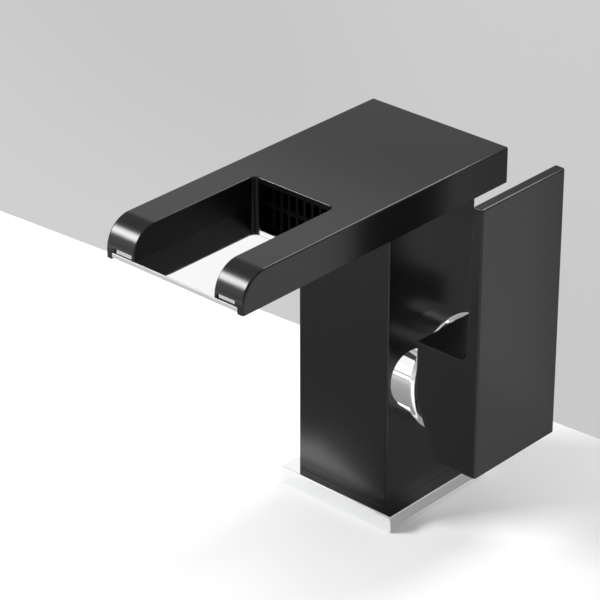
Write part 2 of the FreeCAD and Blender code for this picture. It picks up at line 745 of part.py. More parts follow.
def makeDiffuser():
    half = "({chamberWidth} / 2 - {fitGap})"
    low = spillTop + " + {threadGap}"
    high = spillTop + " + {mouthHeight} - {fitGap}"
    strip = block("diffuserStrip", f"0 - {half}", half, "{diffuserSetback} - {slotRear}",
                  "{mouthDepth} - {slotRear}", low, high)
    lip = block("diffuserLip", f"0 - {half}", half, "{mouthDepth} - {slotRear}",
                "{mouthDepth} - {slotRear} + {diffuserLipThick}", low,
                high + " + {diffuserLipRise}")
    tools = []
    count = int(number("{diffuserSlots}"))
    for step in range(count):
        middle = f"({{chamberWidth}} * ({step + 0.5} / {{diffuserSlots}} - 0.5))"
        tools.append(block(f"diffuserSlot{step}", f"{middle} - {{diffuserSlotWidth}} / 2",
                           f"{middle} + {{diffuserSlotWidth}} / 2", "0 - {slotRear} - {cutPast}",
                           "{mouthDepth} - {slotRear} + {diffuserLipThick} + {cutPast}",
                           low + " + {diffuserSill}",
                           low + " + {diffuserSill} + {diffuserSlotHeight}"))
    without("flow_diffuser", joined("diffuserWhole", [strip, lip]), tools)


def makeHeadBolts():
    bolts = []
    for step, (across, deep) in enumerate(boltPlaces):
        head = rod(f"boltHead{step}", "Z", (across, deep, inletFoot + " - {boltHeadHeight}"),
                   "{boltHeadRadius}", "{boltHeadHeight}")
        shank = rod(f"boltShank{step}", "Z", (across, deep, inletFoot + " - {cutPast}"), "{boltRadius}",
                    f"{spillTop} + {{boltGrip}} - {inletFoot} + {{cutPast}}")
        drive = hexagon(f"boltDrive{step}",
                        (across, deep, inletFoot + " - {boltHeadHeight} - {cutPast}"),
                        "{boltDriveFlats}", "{boltDriveDepth} + {cutPast}")
        bolts.append(without(f"headBolt{step}", joined(f"boltWhole{step}", [head, shank]), [drive]))
    group("head_bolts", bolts)


# ---- valve ----

def makeValveBase():
    body = turned("valve_base", [(valveFoot, "0"), (fixedDiscFoot, "0"), (fixedDiscFoot, housingOuter),
                                 (valveFoot, housingOuter)])
    portHoles(body, "basePorts", valveFoot, "{portRadius}", "{valveBaseThick}", backwards=True)
    portHoles(body, "sealSeats", valveFoot, "{portRadius} + {portSealWall} + {fitGap}",
              "{portSealThick}", backwards=True)


def makePortSeals():
    seals = []
    for step, (across, along) in enumerate(portPlaces):
        outer = rod(f"portSealOuter{step}", "X", (valveFoot, across, along),
                    "{portRadius} + {portSealWall}", "{portSealThick} - {threadGap}")
        bore = rod(f"portSealBore{step}", "X", (valveFoot + " - {cutPast}", across, along),
                   "{portRadius}", "{portSealThick} + 2 * {cutPast}")
        seals.append(without(f"portSeal{step}", outer, [bore]))
    group("port_seals", seals)


def makeFixedDisc():
    body = turned("fixed_disc", [(fixedDiscFoot, "0"), (fixedDiscTop, "0"),
                                 (fixedDiscTop, fixedDiscRadius), (fixedDiscFoot, fixedDiscRadius)])
    portHoles(body, "discPorts", fixedDiscFoot, "{portRadius}", "{fixedDiscThick}", backwards=True)


def makeMovingDisc():
    body = turned("moving_disc", [(movingDiscFoot, "0"), (movingDiscTop, "0"),
                                  (movingDiscTop, movingDiscRadius), (movingDiscFoot, movingDiscRadius)])
    bowl = newSketch(body, "mixingBowl", "YZ_Plane", offset=movingDiscFoot)
    circle(bowl, "0", "{axisHeight} - {bowlDrop}", f"{movingDiscRadius} - {{bowlDrop}} - {{bowlRim}}")
    pocket(body, bowl, "{bowlDepth}", backwards=True)
    pegs = newSketch(body, "pegHoles", "YZ_Plane", offset=movingDiscTop)
    for side in ("0 - ", "0 + "):
        circle(pegs, side + pegAcross, "{axisHeight}", "{driverPegRadius} + {threadGap}")
    pocket(body, pegs, "{driverPegDepth} + {fitGap}")


def makeDiscDriver():
    slab = block("driverSlab", movingDiscTop, driverTop, f"0 - {driverHalf}", driverHalf,
                 f"{{axisHeight}} - {driverHalfHeight}", f"{{axisHeight}} + {driverHalfHeight}")
    pieces = [slab]
    for step, side in enumerate(("0 - ", "0 + ")):
        pieces.append(rod(f"driverPeg{step}", "X",
                          (movingDiscTop + " - {driverPegDepth}", side + pegAcross, "{axisHeight}"),
                          "{driverPegRadius}", "{driverPegDepth} + {cutPast}"))
    seat = rod("driverSeat", "X", (movingDiscTop + " + {fitGap}", "0", "{axisHeight}"),
               "{ballRadius} + {looseGap}", "{driverThick} + {cutPast}")
    without("disc_driver", joined("driverWhole", pieces), [seat])


def makeStemCarrier():
    body = turned("stem_carrier", [
        (carrierFoot, "0"), ("{carrierEnd}", "0"), ("{carrierEnd}", "{carrierNeck}"),
        ("{ringPlace} + {ringGroove} / 2", "{carrierNeck}"),
        ("{ringPlace} + {ringGroove} / 2", "{carrierNeck} - {ringGroove}"),
        ("{ringPlace} - {ringGroove} / 2", "{carrierNeck} - {ringGroove}"),
        ("{ringPlace} - {ringGroove} / 2", "{carrierNeck}"),
        (flangeTop, "{carrierNeck}"), (flangeTop, carrierFlange), (carrierFoot, carrierFlange)])
    stemSlot = newSketch(body, "stemSlot", "YZ_Plane", offset=carrierFoot)
    rectangle(stemSlot, f"0 - {stemHalf} - {{looseGap}}", f"{stemHalf} + {{looseGap}}",
              "{axisHeight} - {stemSlotHeight} / 2", "{axisHeight} + {stemSlotHeight} / 2")
    pocket(body, stemSlot, f"{{carrierEnd}} - {carrierFoot}", backwards=True)
    track = newSketch(body, "driverTrack", "YZ_Plane", offset=carrierFoot)
    rectangle(track, f"0 - {driverHalf} - {{looseGap}}", f"{driverHalf} + {{looseGap}}",
              f"{{axisHeight}} - {carrierFlange} - {{cutPast}}",
              f"{{axisHeight}} + {carrierFlange} + {{cutPast}}")
    pocket(body, track, "{driverThick}", backwards=True)
    pinBore = newSketch(body, "pinBore", "XZ_Plane", offset="{carrierNeck} + {cutPast}")
    circle(pinBore, "{pinPlace}", "{axisHeight}", "{pinRadius} + {pinGrip}")
    pocket(body, pinBore, "2 * ({carrierNeck} + {cutPast})")


def makeStemPin():
    rod("stem_pin", "Y", ("{pinPlace}", f"0 - {pinHalf}", "{axisHeight}"), "{pinRadius}", f"2 * {pinHalf}")


def makeCarrierRing():
    ring = doc.addObject("Part::Torus", "carrier_ring")
    ring.Placement.Rotation = turnTo["X"]
    ring.setExpression("Radius1", sized("{carrierNeck} - {ringGroove} / 2 + {threadGap}"))
    ring.setExpression("Radius2", sized("{ringGroove} / 2 - {threadGap} / 2"))
    ring.setExpression("Placement.Base.x", sized("{ringPlace}"))
    ring.setExpression("Placement.Base.z", sized("{axisHeight}"))


def makeHousing():
    turned("valve_housing", [
        (fixedDiscFoot, housingInner), (shoulderFoot, housingInner),
        (shoulderFoot, neckBore), ("{housingEnd}", neckBore), ("{housingEnd}", neckOuter),
        (shoulderTop, neckOuter), (shoulderTop, housingOuter), (fixedDiscFoot, housingOuter)])


def makeValveNut():
    seat = "({columnWidth} / 2 - {nutSeat} + {fitGap})"
    body = turned("valve_nut", [
        (seat, housingOuter + " + {fitGap}"), (shoulderTop, housingOuter + " + {fitGap}"),
        (shoulderTop, neckOuter + " + {fitGap}"), ("{nutEnd}", neckOuter + " + {fitGap}"),
        ("{nutEnd}", nutThread), (seat, nutThread)])
    grips = newSketch(body, "wrenchSlots", "YZ_Plane", offset="{nutEnd}")
    far = f"({nutThread} + {{cutPast}})"
    near = f"({neckOuter} + {{wrenchSlotSetback}})"
    half = "({wrenchSlotWidth} / 2)"
    low, high = f"{{axisHeight}} - {half}", f"{{axisHeight}} + {half}"
    rectangle(grips, f"0 - {far}", f"0 - {near}", low, high)
    rectangle(grips, near, far, low, high)
    rectangle(grips, f"0 - {half}", half, f"{{axisHeight}} - {far}", f"{{axisHeight}} - {near}")
    rectangle(grips, f"0 - {half}", half, f"{{axisHeight}} + {near}", f"{{axisHeight}} + {far}")
    pocket(body, grips, "{wrenchSlotDepth}")


def makeBonnet():
    inner = f"({nutThread} + {{bonnetFit}})"
    face = "({bonnetFace} - {bonnetFaceWall})"
    body = turned("bonnet_cap", [
        ("{columnWidth} / 2", inner), (face, inner), (face, "{bonnetOpening}"),
        ("{bonnetFace}", "{bonnetOpening}"), ("{bonnetFace}", bonnetRadius),
        ("{columnWidth} / 2", bonnetRadius)])

    def frontEdge(middle, edge):
        isRing = edge.Curve.TypeId == "Part::GeomCircle"
        return isRing and isNear(edge.Curve.Radius, bonnetRadius) and isNear(middle.x, "{bonnetFace}")
    shaped = rounded(body, body.Tip, "{bonnetEdge}", frontEdge)

    def openingEdge(middle, edge):
        isRing = edge.Curve.TypeId == "Part::GeomCircle"
        return isRing and isNear(edge.Curve.Radius, "{bonnetOpening}") and isNear(middle.x, "{bonnetFace}")
    rounded(body, shaped, "{fineEdge}", openingEdge)


# ---- lever ----

def makeStem():
    ball = doc.addObject("Part::Sphere", "stemBall")
    ball.setExpression("Radius", sized("{ballRadius}"))
    ball.setExpression("Placement.Base.x", sized(ballPlace))
    ball.setExpression("Placement.Base.z", sized("{axisHeight}"))
    neck = rod("stemNeck", "X", (ballPlace, "0", "{axisHeight}"), "{stemNeck}",
               f"{{pinPlace}} - {ballPlace}")
    barrel = rod("stemBarrel", "Y", ("{pinPlace}", f"0 - {stemHalf}", "{axisHeight}"),
                 "{stemBarrel}", "{stemSquare}")
    shank = block("stemShank", "{pinPlace}", "{stemEnd}", f"0 - {stemHalf}", stemHalf,
                  f"{{axisHeight}} - {stemHalf}", f"{{axisHeight}} + {stemHalf}")
    bore = rod("stemBore", "Y", ("{pinPlace}", f"0 - {stemHalf} - {{cutPast}}", "{axisHeight}"),
               "{pinRadius} + {runningGap}", "{stemSquare} + 2 * {cutPast}")
    without("control_stem", joined("stemWhole", [ball, neck, barrel, shank]), [bore])


def makeLever():
    body = newBody("lever_handle")
    sketch = newSketch(body, "leverSide", "XZ_Plane")
    knee = "{axisHeight}"
    outline(sketch, [
        ("{blockInner}", blockTop), ("{blockInner}", knee), ("{blockInner} + {blockSlantIn}", blockLow),
        ("{leverOuter}", blockLow), ("{leverOuter}", "{leverTop}"),
        ("{leverOuter} - {leverTopThick}", "{leverTop}"), ("{leverOuter} - {leverRootThick}", blockTop)])
    solid = pad(body, sketch, "{leverWidth}", middle=True)

    def crook(middle, edge):
        return isNear(middle.x, "{leverOuter} - {leverRootThick}") and isNear(middle.z, blockTop)
    bent = rounded(body, solid, "{blockFillet}", crook)

    def outlineEdges(middle, edge):
        if edge.Curve.TypeId != "Part::GeomLine":
            return False
        onSide = isNear(abs(middle.y), "{leverWidth} / 2")
        across = isNear(middle.y, "0")
        onBlockTop = isNear(middle.z, blockTop)
        height = middle.z - number(blockTop)
        onPlate = tolerance < height < number(f"{{leverTop}} - {blockTop}") - tolerance
        blended = across and middle.x > number("{blockInner}") + tolerance and (onBlockTop or onPlate)
        return (onSide or across) and not blended and not (onSide and onBlockTop)
    rounded(body, bent, "{fineEdge}", outlineEdges)

    socket = newSketch(body, "stemSocket", "YZ_Plane", offset="{blockInner}")
    half = f"({stemHalf} + {{fitGap}})"
    rectangle(socket, f"0 - {half}", half, f"{{axisHeight}} - {half}", f"{{axisHeight}} + {half}")
    pocket(body, socket, "{socketEnd} - {blockInner}", backwards=True)
    relief = newSketch(body, "hollowRing", "YZ_Plane", offset="{blockInner}")
    circle(relief, "0", "{axisHeight}", "{reliefRadius}")
    circle(relief, "0", "{axisHeight}", "{bossRadius}")
    pocket(body, relief, "{reliefEnd} - {blockInner}", backwards=True)
    rib = newSketch(body, "grubRib", "YZ_Plane", offset="{reliefEnd}")
    rectangle(rib, "0 - {grubRibWidth} / 2", "{grubRibWidth} / 2",
              "{axisHeight} - {reliefRadius} - {cutPast}", "{axisHeight} - {bossRadius} + {cutPast}")
    pad(body, rib, "{reliefEnd} - {grubPlace} + {grubRibWidth} / 2", backwards=True)
    thread = newSketch(body, "grubThread", "XY_Plane", offset=blockLow)
    circle(thread, "{grubPlace}", "0", "{grubRadius} + {threadGap}")
    pocket(body, thread, "{blockHeight} / 2 - {stemSquare} / 2", backwards=True)
    seat = newSketch(body, "plugSeat", "XY_Plane", offset=blockLow)
    circle(seat, "{grubPlace}", "0", "{plugRadius} + {threadGap}")
    pocket(body, seat, "{plugLength} + {fitGap}", backwards=True)


def makeGrubScrew():
    top = f"({{axisHeight}} - {stemHalf} - {{pinGrip}})"
    foot = f"({top} - {{grubLength}})"
    screw = rod("grubRod", "Z", ("{grubPlace}", "0", foot), "{grubRadius}", "{grubLength} - {grubTip}")
    tip = rod("grubTip", "Z", ("{grubPlace}", "0", f"{top} - {{grubTip}}"), "{grubRadius}", "{grubTip}",
              tip="{grubRadius} - {grubTip}")
    drive = hexagon("grubDrive", ("{grubPlace}", "0", foot + " - {cutPast}"), "{grubDriveFlats}",
                    "{grubDriveDepth} + {cutPast}")
    without("lever_grub_screw", joined("grubWhole", [screw, tip]), [drive])


def makePlug():
    body = rod("plugBody", "Z", ("{grubPlace}", "0", blockLow), "{plugRadius}", "{plugLength}")
    notch = block("plugNotch", "{grubPlace} - {plugNotchWidth} / 2", "{grubPlace} + {plugNotchWidth} / 2",
                  "{cutPast} - {plugRadius}", "{plugRadius} - {cutPast}", blockLow + " - {cutPast}",
                  blockLow + " + {plugNotchDepth}")
    without("lever_plug", body, [notch])


# ---- fixing under the deck ----

def makeStud():
    low = "(0 - {studBelow})"
    shank = rod("studShank", "Z", ("{studAcross}", "0", low), "{studRadius} - {threadGap}",
                f"{inletFoot} + {{studDepth}} - {{threadRunout}} + {{studBelow}}")
    slot = block("studSlot", "{studAcross} - {studSlotWidth} / 2", "{studAcross} + {studSlotWidth} / 2",
                 "0 - {studRadius} - {cutPast}", "{studRadius} + {cutPast}", low + " - {cutPast}",
                 low + " + {studSlotDepth}")
    without("mounting_stud", shank, [slot])


def makeHorseshoe(label, low, high):
    """A disc with a round-ended slot that lets the two hoses past the stud."""
    under = low + " - {cutPast}"
    through = f"{high} - {low} + 2 * {{cutPast}}"
    disc = rod(label + "Disc", "Z", ("0", "0", low), "{padRadius}", f"{high} - {low}")
    slotMiddle = "({hoseSlotEnd} - {hoseSlotWidth} / 2)"
    slot = block(label + "Slot", "0 - {padRadius} - {cutPast}", slotMiddle, "0 - {hoseSlotWidth} / 2",
                 "{hoseSlotWidth} / 2", under, f"{high} + {{cutPast}}")
    slotTurn = rod(label + "SlotTurn", "Z", (slotMiddle, "0", under), "{hoseSlotWidth} / 2", through)
    hole = rod(label + "Hole", "Z", ("{studAcross}", "0", under), "{studRadius} + {looseGap}", through)
    without(label, disc, [slot, slotTurn, hole])


def makeStudNut():
    low = f"({clampLow} - {{nutLength}})"
    bar = hexagon("studNutBar", ("{studAcross}", "0", low), "{nutAcrossFlats}", "{nutLength}")
    bore = rod("studNutBore", "Z", ("{studAcross}", "0", low + " - {cutPast}"), "{studRadius}",
               "{nutLength} + 2 * {cutPast}")
    without("stud_nut", bar, [bore])


makeBasePlate()
makeBaseSeal()
makeSkirt()
makeColumn()
makeInletBlock()
makeInletSeals()
makeHeadSeal()
makeSpoutHead()
makeSpillPlate()
makeSpillScrews()
makeDiffuser()
makeHeadBolts()
makeValveBase()
makePortSeals()
makeFixedDisc()
makeMovingDisc()
makeDiscDriver()
makeStemCarrier()
makeStemPin()
makeCarrierRing()
makeHousing()
makeValveNut()
makeBonnet()
makeStem()
makeLever()
makeGrubScrew()
makePlug()
makeStud()
makeHorseshoe("clamp_pad", clampTop, "(0 - {deckThick})")
makeHorseshoe("clamp_plate", clampLow, clampTop)
makeStudNut()
doc.recompute()

nodeNames = [
    "base_plate", "base_seal", "column_skirt", "body_column", "inlet_block", "inlet_seals",
    "head_seal", "spout_head", "spill_plate", "spill_plate_screws", "flow_diffuser", "head_bolts",
    "valve_base", "port_seals", "fixed_disc", "moving_disc", "disc_driver", "stem_carrier",
    "stem_pin", "carrier_ring", "valve_housing", "valve_nut", "bonnet_cap", "control_stem",
    "lever_handle", "lever_grub_screw", "lever_plug", "mounting_stud", "clamp_pad", "clamp_plate",
    "stud_nut",
]

for item in doc.Objects:
    if "Invalid" in item.State or "Error" in item.State:
        raise RuntimeError(f"{item.Label} failed: {item.State}")
nodes = [doc.getObject(name) for name in nodeNames]
for node in nodes:
    if node.Shape.isNull() or not node.Shape.isValid() or not node.Shape.Solids:
        raise RuntimeError(f"{node.Label} has no sound shape")
for node in nodes:
    node.Shape.exportStep(f"parts/{node.Label}.step")
    print(f"{node.Label:20s} {len(node.Shape.Solids)} solid(s), {node.Shape.Volume / 1000:8.2f} cm3")
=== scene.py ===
import bmesh
import bpy
import json
import math
from mathutils import Matrix, Vector


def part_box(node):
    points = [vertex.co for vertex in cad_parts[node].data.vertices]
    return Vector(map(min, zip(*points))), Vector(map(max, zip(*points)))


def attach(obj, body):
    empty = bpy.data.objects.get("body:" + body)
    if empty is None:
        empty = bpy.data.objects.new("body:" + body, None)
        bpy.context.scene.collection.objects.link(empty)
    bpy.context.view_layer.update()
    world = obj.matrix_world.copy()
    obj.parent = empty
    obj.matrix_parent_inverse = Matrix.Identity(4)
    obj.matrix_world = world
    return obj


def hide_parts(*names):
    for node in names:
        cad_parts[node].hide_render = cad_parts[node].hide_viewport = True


# The looks of a waterfall basin tap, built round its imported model. Lengths are in metres.
# +X is the lever's side, -Y is the way the water falls, z = 0 is the top of the basin's deck.

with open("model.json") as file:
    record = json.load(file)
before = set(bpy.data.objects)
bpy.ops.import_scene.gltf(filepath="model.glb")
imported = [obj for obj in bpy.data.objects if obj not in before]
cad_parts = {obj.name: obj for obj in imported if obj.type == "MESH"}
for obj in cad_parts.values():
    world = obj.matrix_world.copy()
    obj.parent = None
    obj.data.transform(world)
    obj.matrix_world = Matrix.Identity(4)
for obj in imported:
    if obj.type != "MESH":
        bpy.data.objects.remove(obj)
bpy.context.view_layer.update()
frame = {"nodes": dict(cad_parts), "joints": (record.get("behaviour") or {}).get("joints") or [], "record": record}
nodes = frame["nodes"]
mm = 0.001
tiny = 0.00002          # two places closer than this count as one
weldGap = tiny / 10     # corners closer than this are merged
past = 1 * mm           # how far a cutter stands out of what it cuts
valveAxis = Vector(next(joint["pos_m"] for joint in frame["joints"]
                        if joint["name"] == "temperature_turn"))
print("frame loaded:", len(nodes), "nodes")


# Finishes. One method makes every node, and sums of values are written as Python sums.

# A node's output that can be used in sums; each sum adds a Math node.
class Wire:
    def __init__(self, net, socket):
        self.net = net
        self.socket = socket

    def math(self, operation, first, second):
        return self.net.node("ShaderNodeMath", {"operation": operation}, {0: first, 1: second})

    def __add__(self, other):
        return self.math("ADD", self, other)

    def __sub__(self, other):
        return self.math("SUBTRACT", self, other)

    def __mul__(self, other):
        return self.math("MULTIPLY", self, other)

    def __rsub__(self, other):
        return self.math("SUBTRACT", other, self)

    __radd__ = __add__
    __rmul__ = __mul__


mixFirst, mixSecond, mixColour = 6, 7, 2    # the Mix node's sockets for colours


# The nodes of a material or of the world.
class Net:
    def __init__(self, tree):
        self.tree = tree
        self.tree.nodes.clear()

    # One node: its settings are set first, then its sockets get values or links.
    def node(self, kind, settings=None, inputs=None, output=0):
        made = self.tree.nodes.new(kind)
        for word, value in (settings or {}).items():
            if word == "stops":
                self.setStops(made.color_ramp, value)
            else:
                setattr(made, word, value)
        for key, value in (inputs or {}).items():
            if isinstance(value, Wire):
                self.tree.links.new(value.socket, made.inputs[key])
            else:
                made.inputs[key].default_value = value
        return Wire(self, made.outputs[output]) if made.outputs else made

    def setStops(self, band, stops):
        while len(band.elements) < len(stops):
            band.elements.new(1.0)
        for element, (place, colour) in zip(band.elements, stops):
            element.position = place
            element.color = colour

    def ramp(self, stops, place):
        return self.node("ShaderNodeValToRGB", {"stops": stops}, {"Fac": place})

    def blend(self, amount, first, second):
        return self.node("ShaderNodeMix", {"data_type": "RGBA"},
                         {"Factor": amount, mixFirst: first, mixSecond: second}, output=mixColour)


# A material, with its patterns on the piece's own coordinates.
class Finish(Net):
    def __init__(self, name):
        self.material = bpy.data.materials.new(name)
        self.material.use_nodes = True
        super().__init__(self.material.node_tree)
        self.place = self.node("ShaderNodeTexCoord", output="Object")

    def noise(self, scale, detail, stretch=(1, 1, 1)):
        place = self.node("ShaderNodeMapping", {}, {"Vector": self.place, "Scale": stretch})
        return self.node("ShaderNodeTexNoise", {},
                         {"Vector": place, "Scale": scale, "Detail": detail})

    def bump(self, height, strength, depth):
        return self.node("ShaderNodeBump", {},
                         {"Height": height, "Strength": strength, "Distance": depth})

    def close(self, shader):
        self.node("ShaderNodeOutputMaterial", {}, {"Surface": shader})
        return self.material


def grey(value, warmth=0.0):
    return (value * (1 + warmth), value, value * (1 - warmth), 1)


noiseMiddle = 0.5

blackLook = {
    "dark": grey(0.0030, -0.02),
    "pale": grey(0.0046, -0.02),
    "cloudScale": 45,
    "cloudDetail": 3,
    "grainScale": 2600,
    "grainDetail": 2,
    "roughness": 0.26,
    "cloudSpread": 0.04,
    "grainSpread": 0.04,
    "ior": 1.44,
    "bump": 0.12,
    "bumpDepth": 0.02 * mm,
}


def makeBlackFinish():
    look = blackLook
    finish = Finish("satin_black_coat")
    cloud = finish.noise(look["cloudScale"], look["cloudDetail"])
    grain = finish.noise(look["grainScale"], look["grainDetail"])
    clouds = (cloud - noiseMiddle) * look["cloudSpread"]
    grains = (grain - noiseMiddle) * look["grainSpread"]
    return finish.close(finish.node("ShaderNodeBsdfPrincipled", {}, {
        "Base Color": finish.blend(cloud, look["dark"], look["pale"]),
        "Roughness": look["roughness"] + clouds + grains,
        "IOR": look["ior"],
        "Normal": finish.bump(grain, look["bump"], look["bumpDepth"]),
    }))


chromeLook = {
    "colour": grey(0.95, -0.006),
    "shade": grey(0.91, -0.006),
    "roughness": 0.03,
    "hazeScale": 60,
    "hazeDetail": 4,
    "hazeSpread": 0.02,
    "swirlScale": 900,
    "swirlDetail": 2,
    "swirlStretch": (1, 6, 1),
    "swirlSpread": 0.01,
}


def makeChrome():
    look = chromeLook
    finish = Finish("polished_chrome")
    haze = finish.noise(look["hazeScale"], look["hazeDetail"])
    swirl = finish.noise(look["swirlScale"], look["swirlDetail"], look["swirlStretch"])
    swirls = (swirl - noiseMiddle) * look["swirlSpread"]
    return finish.close(finish.node("ShaderNodeBsdfPrincipled", {}, {
        "Base Color": finish.blend(haze, look["shade"], look["colour"]),
        "Metallic": 1.0,
        "Roughness": look["roughness"] + haze * look["hazeSpread"] + swirls,
    }))


metalLook = {
    "lineScale": 900,
    "lineDetail": 3,
    "lineShare": 0.4,
    "lineSpread": 0.16,
    "cloudScale": 120,
    "cloudDetail": 2,
    "cloudShare": 0.6,
    "bump": 0.15,
    "bumpDepth": 0.01 * mm,
}
metals = {
    "stainless_steel": {
        "dark": grey(0.52),
        "pale": grey(0.64, 0.01),
        "roughness": 0.30,
        "stretch": (1, 1, 12),
    },
    "turned_brass": {
        "dark": (0.60, 0.43, 0.17, 1),
        "pale": (0.78, 0.60, 0.29, 1),
        "roughness": 0.26,
        "stretch": (12, 1, 1),
    },
}


def makeMetal(name):
    look, metal = metalLook, metals[name]
    finish = Finish(name)
    lines = finish.noise(look["lineScale"], look["lineDetail"], metal["stretch"])
    cloud = finish.noise(look["cloudScale"], look["cloudDetail"])
    mixed = cloud * look["cloudShare"] + lines * look["lineShare"]
    return finish.close(finish.node("ShaderNodeBsdfPrincipled", {}, {
        "Base Color": finish.blend(mixed, metal["dark"], metal["pale"]),
        "Metallic": 1.0,
        "Roughness": metal["roughness"] + (lines - noiseMiddle) * look["lineSpread"],
        "Normal": finish.bump(lines, look["bump"], look["bumpDepth"]),
    }))


plainLook = {
    "grainDetail": 2,
    "grainSpread": 0.12,
    "cloudScale": 150,
    "cloudDetail": 2,
    "bumpDepth": 0.02 * mm,
}
plainFinishes = {
    "black_rubber": {
        "dark": grey(0.012),
        "pale": grey(0.022),
        "roughness": 0.72,
        "ior": 1.48,
        "grainScale": 1500,
        "bump": 0.2,
    },
    "black_moulding": {
        "dark": grey(0.003),
        "pale": grey(0.006),
        "roughness": 0.34,
        "ior": 1.48,
        "grainScale": 1500,
        "bump": 0.2,
    },
    "white_moulding": {
        "dark": grey(0.66, 0.01),
        "pale": grey(0.76, 0.012),
        "roughness": 0.45,
        "ior": 1.48,
        "grainScale": 1500,
        "bump": 0.2,
    },
    "lapped_ceramic": {
        "dark": grey(0.74, 0.02),
        "pale": grey(0.84, 0.025),
        "roughness": 0.16,
        "ior": 1.7,
        "grainScale": 3000,
        "bump": 0.05,
    },
}


def makePlain(name):
    look, plain = plainLook, plainFinishes[name]
    finish = Finish(name)
    grain = finish.noise(plain["grainScale"], look["grainDetail"])
    cloud = finish.noise(look["cloudScale"], look["cloudDetail"])
    return finish.close(finish.node("ShaderNodeBsdfPrincipled", {}, {
        "Base Color": finish.blend(cloud, plain["dark"], plain["pale"]),
        "Roughness": plain["roughness"] + (grain - noiseMiddle) * look["grainSpread"],
        "IOR": plain["ior"],
        "Normal": finish.bump(grain, plain["bump"], look["bumpDepth"]),
    }))


# Each material slot of the part, and the finish it gets.
finishes = {
    "black_finish": makeBlackFinish(),
    "chrome": makeChrome(),
    "steel": makeMetal("stainless_steel"),
    "brass": makeMetal("turned_brass"),
    "seal_rubber": makePlain("black_rubber"),
    "black_plastic": makePlain("black_moulding"),
    "white_plastic": makePlain("white_moulding"),
    "ceramic": makePlain("lapped_ceramic"),
}
slotOf = {part["node"]: part["material_slot"] for part in frame["record"]["subparts"]}
bodyOf = {node: body for body, members in frame["record"]["behaviour"]["bodies"].items()
          for node in members}
for name, piece in nodes.items():
    piece.data.materials.clear()
    piece.data.materials.append(finishes[slotOf[name]])
print("finishes made:", len(finishes))


# Tools for shapes.

meshing = {
    "shadeAngle": 32,       # degrees, past which an edge is shaded sharp
    "bevelAngle": 40,       # degrees, past which an edge can be rounded
    "runsAlong": 0.9,       # least share of its direction, for an edge that runs along an axis
    "evenedWeight": 90,
    "smallCircle": 48,      # steps of a full turn
    "largeCircle": 96,
}


def finishPiece(name, shape):
    bmesh.ops.remove_doubles(shape, verts=shape.verts, dist=weldGap)
    bmesh.ops.recalc_face_normals(shape, faces=shape.faces)
    mesh = bpy.data.meshes.new(name)
    shape.to_mesh(mesh)
    shape.free()
    mesh.shade_smooth()
    mesh.set_sharp_from_angle(angle=math.radians(meshing["shadeAngle"]))
    piece = bpy.data.objects.new(name, mesh)
    bpy.context.scene.collection.objects.link(piece)
    return piece


# Takes cutters away from a shape, one after the other, and gives the new shape.
def carve(shape, cutters, operation="DIFFERENCE"):
    for cutter in cutters:
        base, tool = finishPiece("carved", shape), finishPiece("cutter", cutter)
        change = base.modifiers.new("cut", "BOOLEAN")
        change.operation = operation
        change.solver = "EXACT"
        change.object = tool
        graph = bpy.context.evaluated_depsgraph_get()
        graph.update()
        shape = bmesh.new()
        shape.from_object(base, graph)
        for spent in (base, tool):
            bpy.data.meshes.remove(spent.data)
    return shape


# A new piece stands for one or more CAD nodes, with the first one's finish, chosen by its slot, and its body.
def standFor(piece, node, *others):
    piece.data.materials.clear()
    piece.data.materials.append(finishes[slotOf[node]])
    evened = piece.modifiers.new("evened_normals", "WEIGHTED_NORMAL")
    evened.keep_sharp = True
    evened.weight = meshing["evenedWeight"]
    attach(piece, bodyOf[node])
    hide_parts(node, *others)
    print("piece:", piece.name, len(piece.data.polygons), "faces")


def boxShape(low, high):
    shape = bmesh.new()
    bmesh.ops.create_cube(shape, size=1)
    low, high = Vector(low), Vector(high)
    bmesh.ops.scale(shape, vec=high - low, verts=shape.verts)
    bmesh.ops.translate(shape, vec=(low + high) / 2, verts=shape.verts)
    return shape


# A flat outline pushed along an offset.
def slabShape(corners, offset):
    shape = bmesh.new()
    shape.faces.new([shape.verts.new(corner) for corner in corners])
    pushFaces(shape, offset)
    return shape


def pushFaces(shape, offset):
    pushed = bmesh.ops.extrude_face_region(shape, geom=shape.faces[:])["geom"]
    verts = [item for item in pushed if isinstance(item, bmesh.types.BMVert)]
    bmesh.ops.translate(shape, vec=offset, verts=verts)
    bmesh.ops.recalc_face_normals(shape, faces=shape.faces)


# A closed profile of (place along the axis, radius), turned about an axis along X or Z.
def turnedShape(profile, centre, axis, steps=meshing["largeCircle"]):
    shape = bmesh.new()
    side = Vector((0, 0, 1)) if axis.x else Vector((1, 0, 0))
    verts = [shape.verts.new(centre + axis * along + side * radius) for along, radius in profile]
    for step in range(len(verts)):
        shape.edges.new((verts[step - 1], verts[step]))
    bmesh.ops.spin(shape, geom=shape.verts[:] + shape.edges[:], cent=centre, axis=axis,
                   angle=math.tau, steps=steps, use_merge=True)
    bmesh.ops.remove_doubles(shape, verts=shape.verts, dist=weldGap)
    bmesh.ops.recalc_face_normals(shape, faces=shape.faces)
    return shape


def rodShape(start, axis, length, radius, steps=meshing["smallCircle"]):
    profile = [(0, 0), (0, radius), (length, radius), (length, 0)]
    return turnedShape(profile, Vector(start), Vector(axis), steps)


def near(value, place, slack=tiny):
    return abs(value - place) < slack


def runsAlong(part):
    return abs(part) > meshing["runsAlong"]


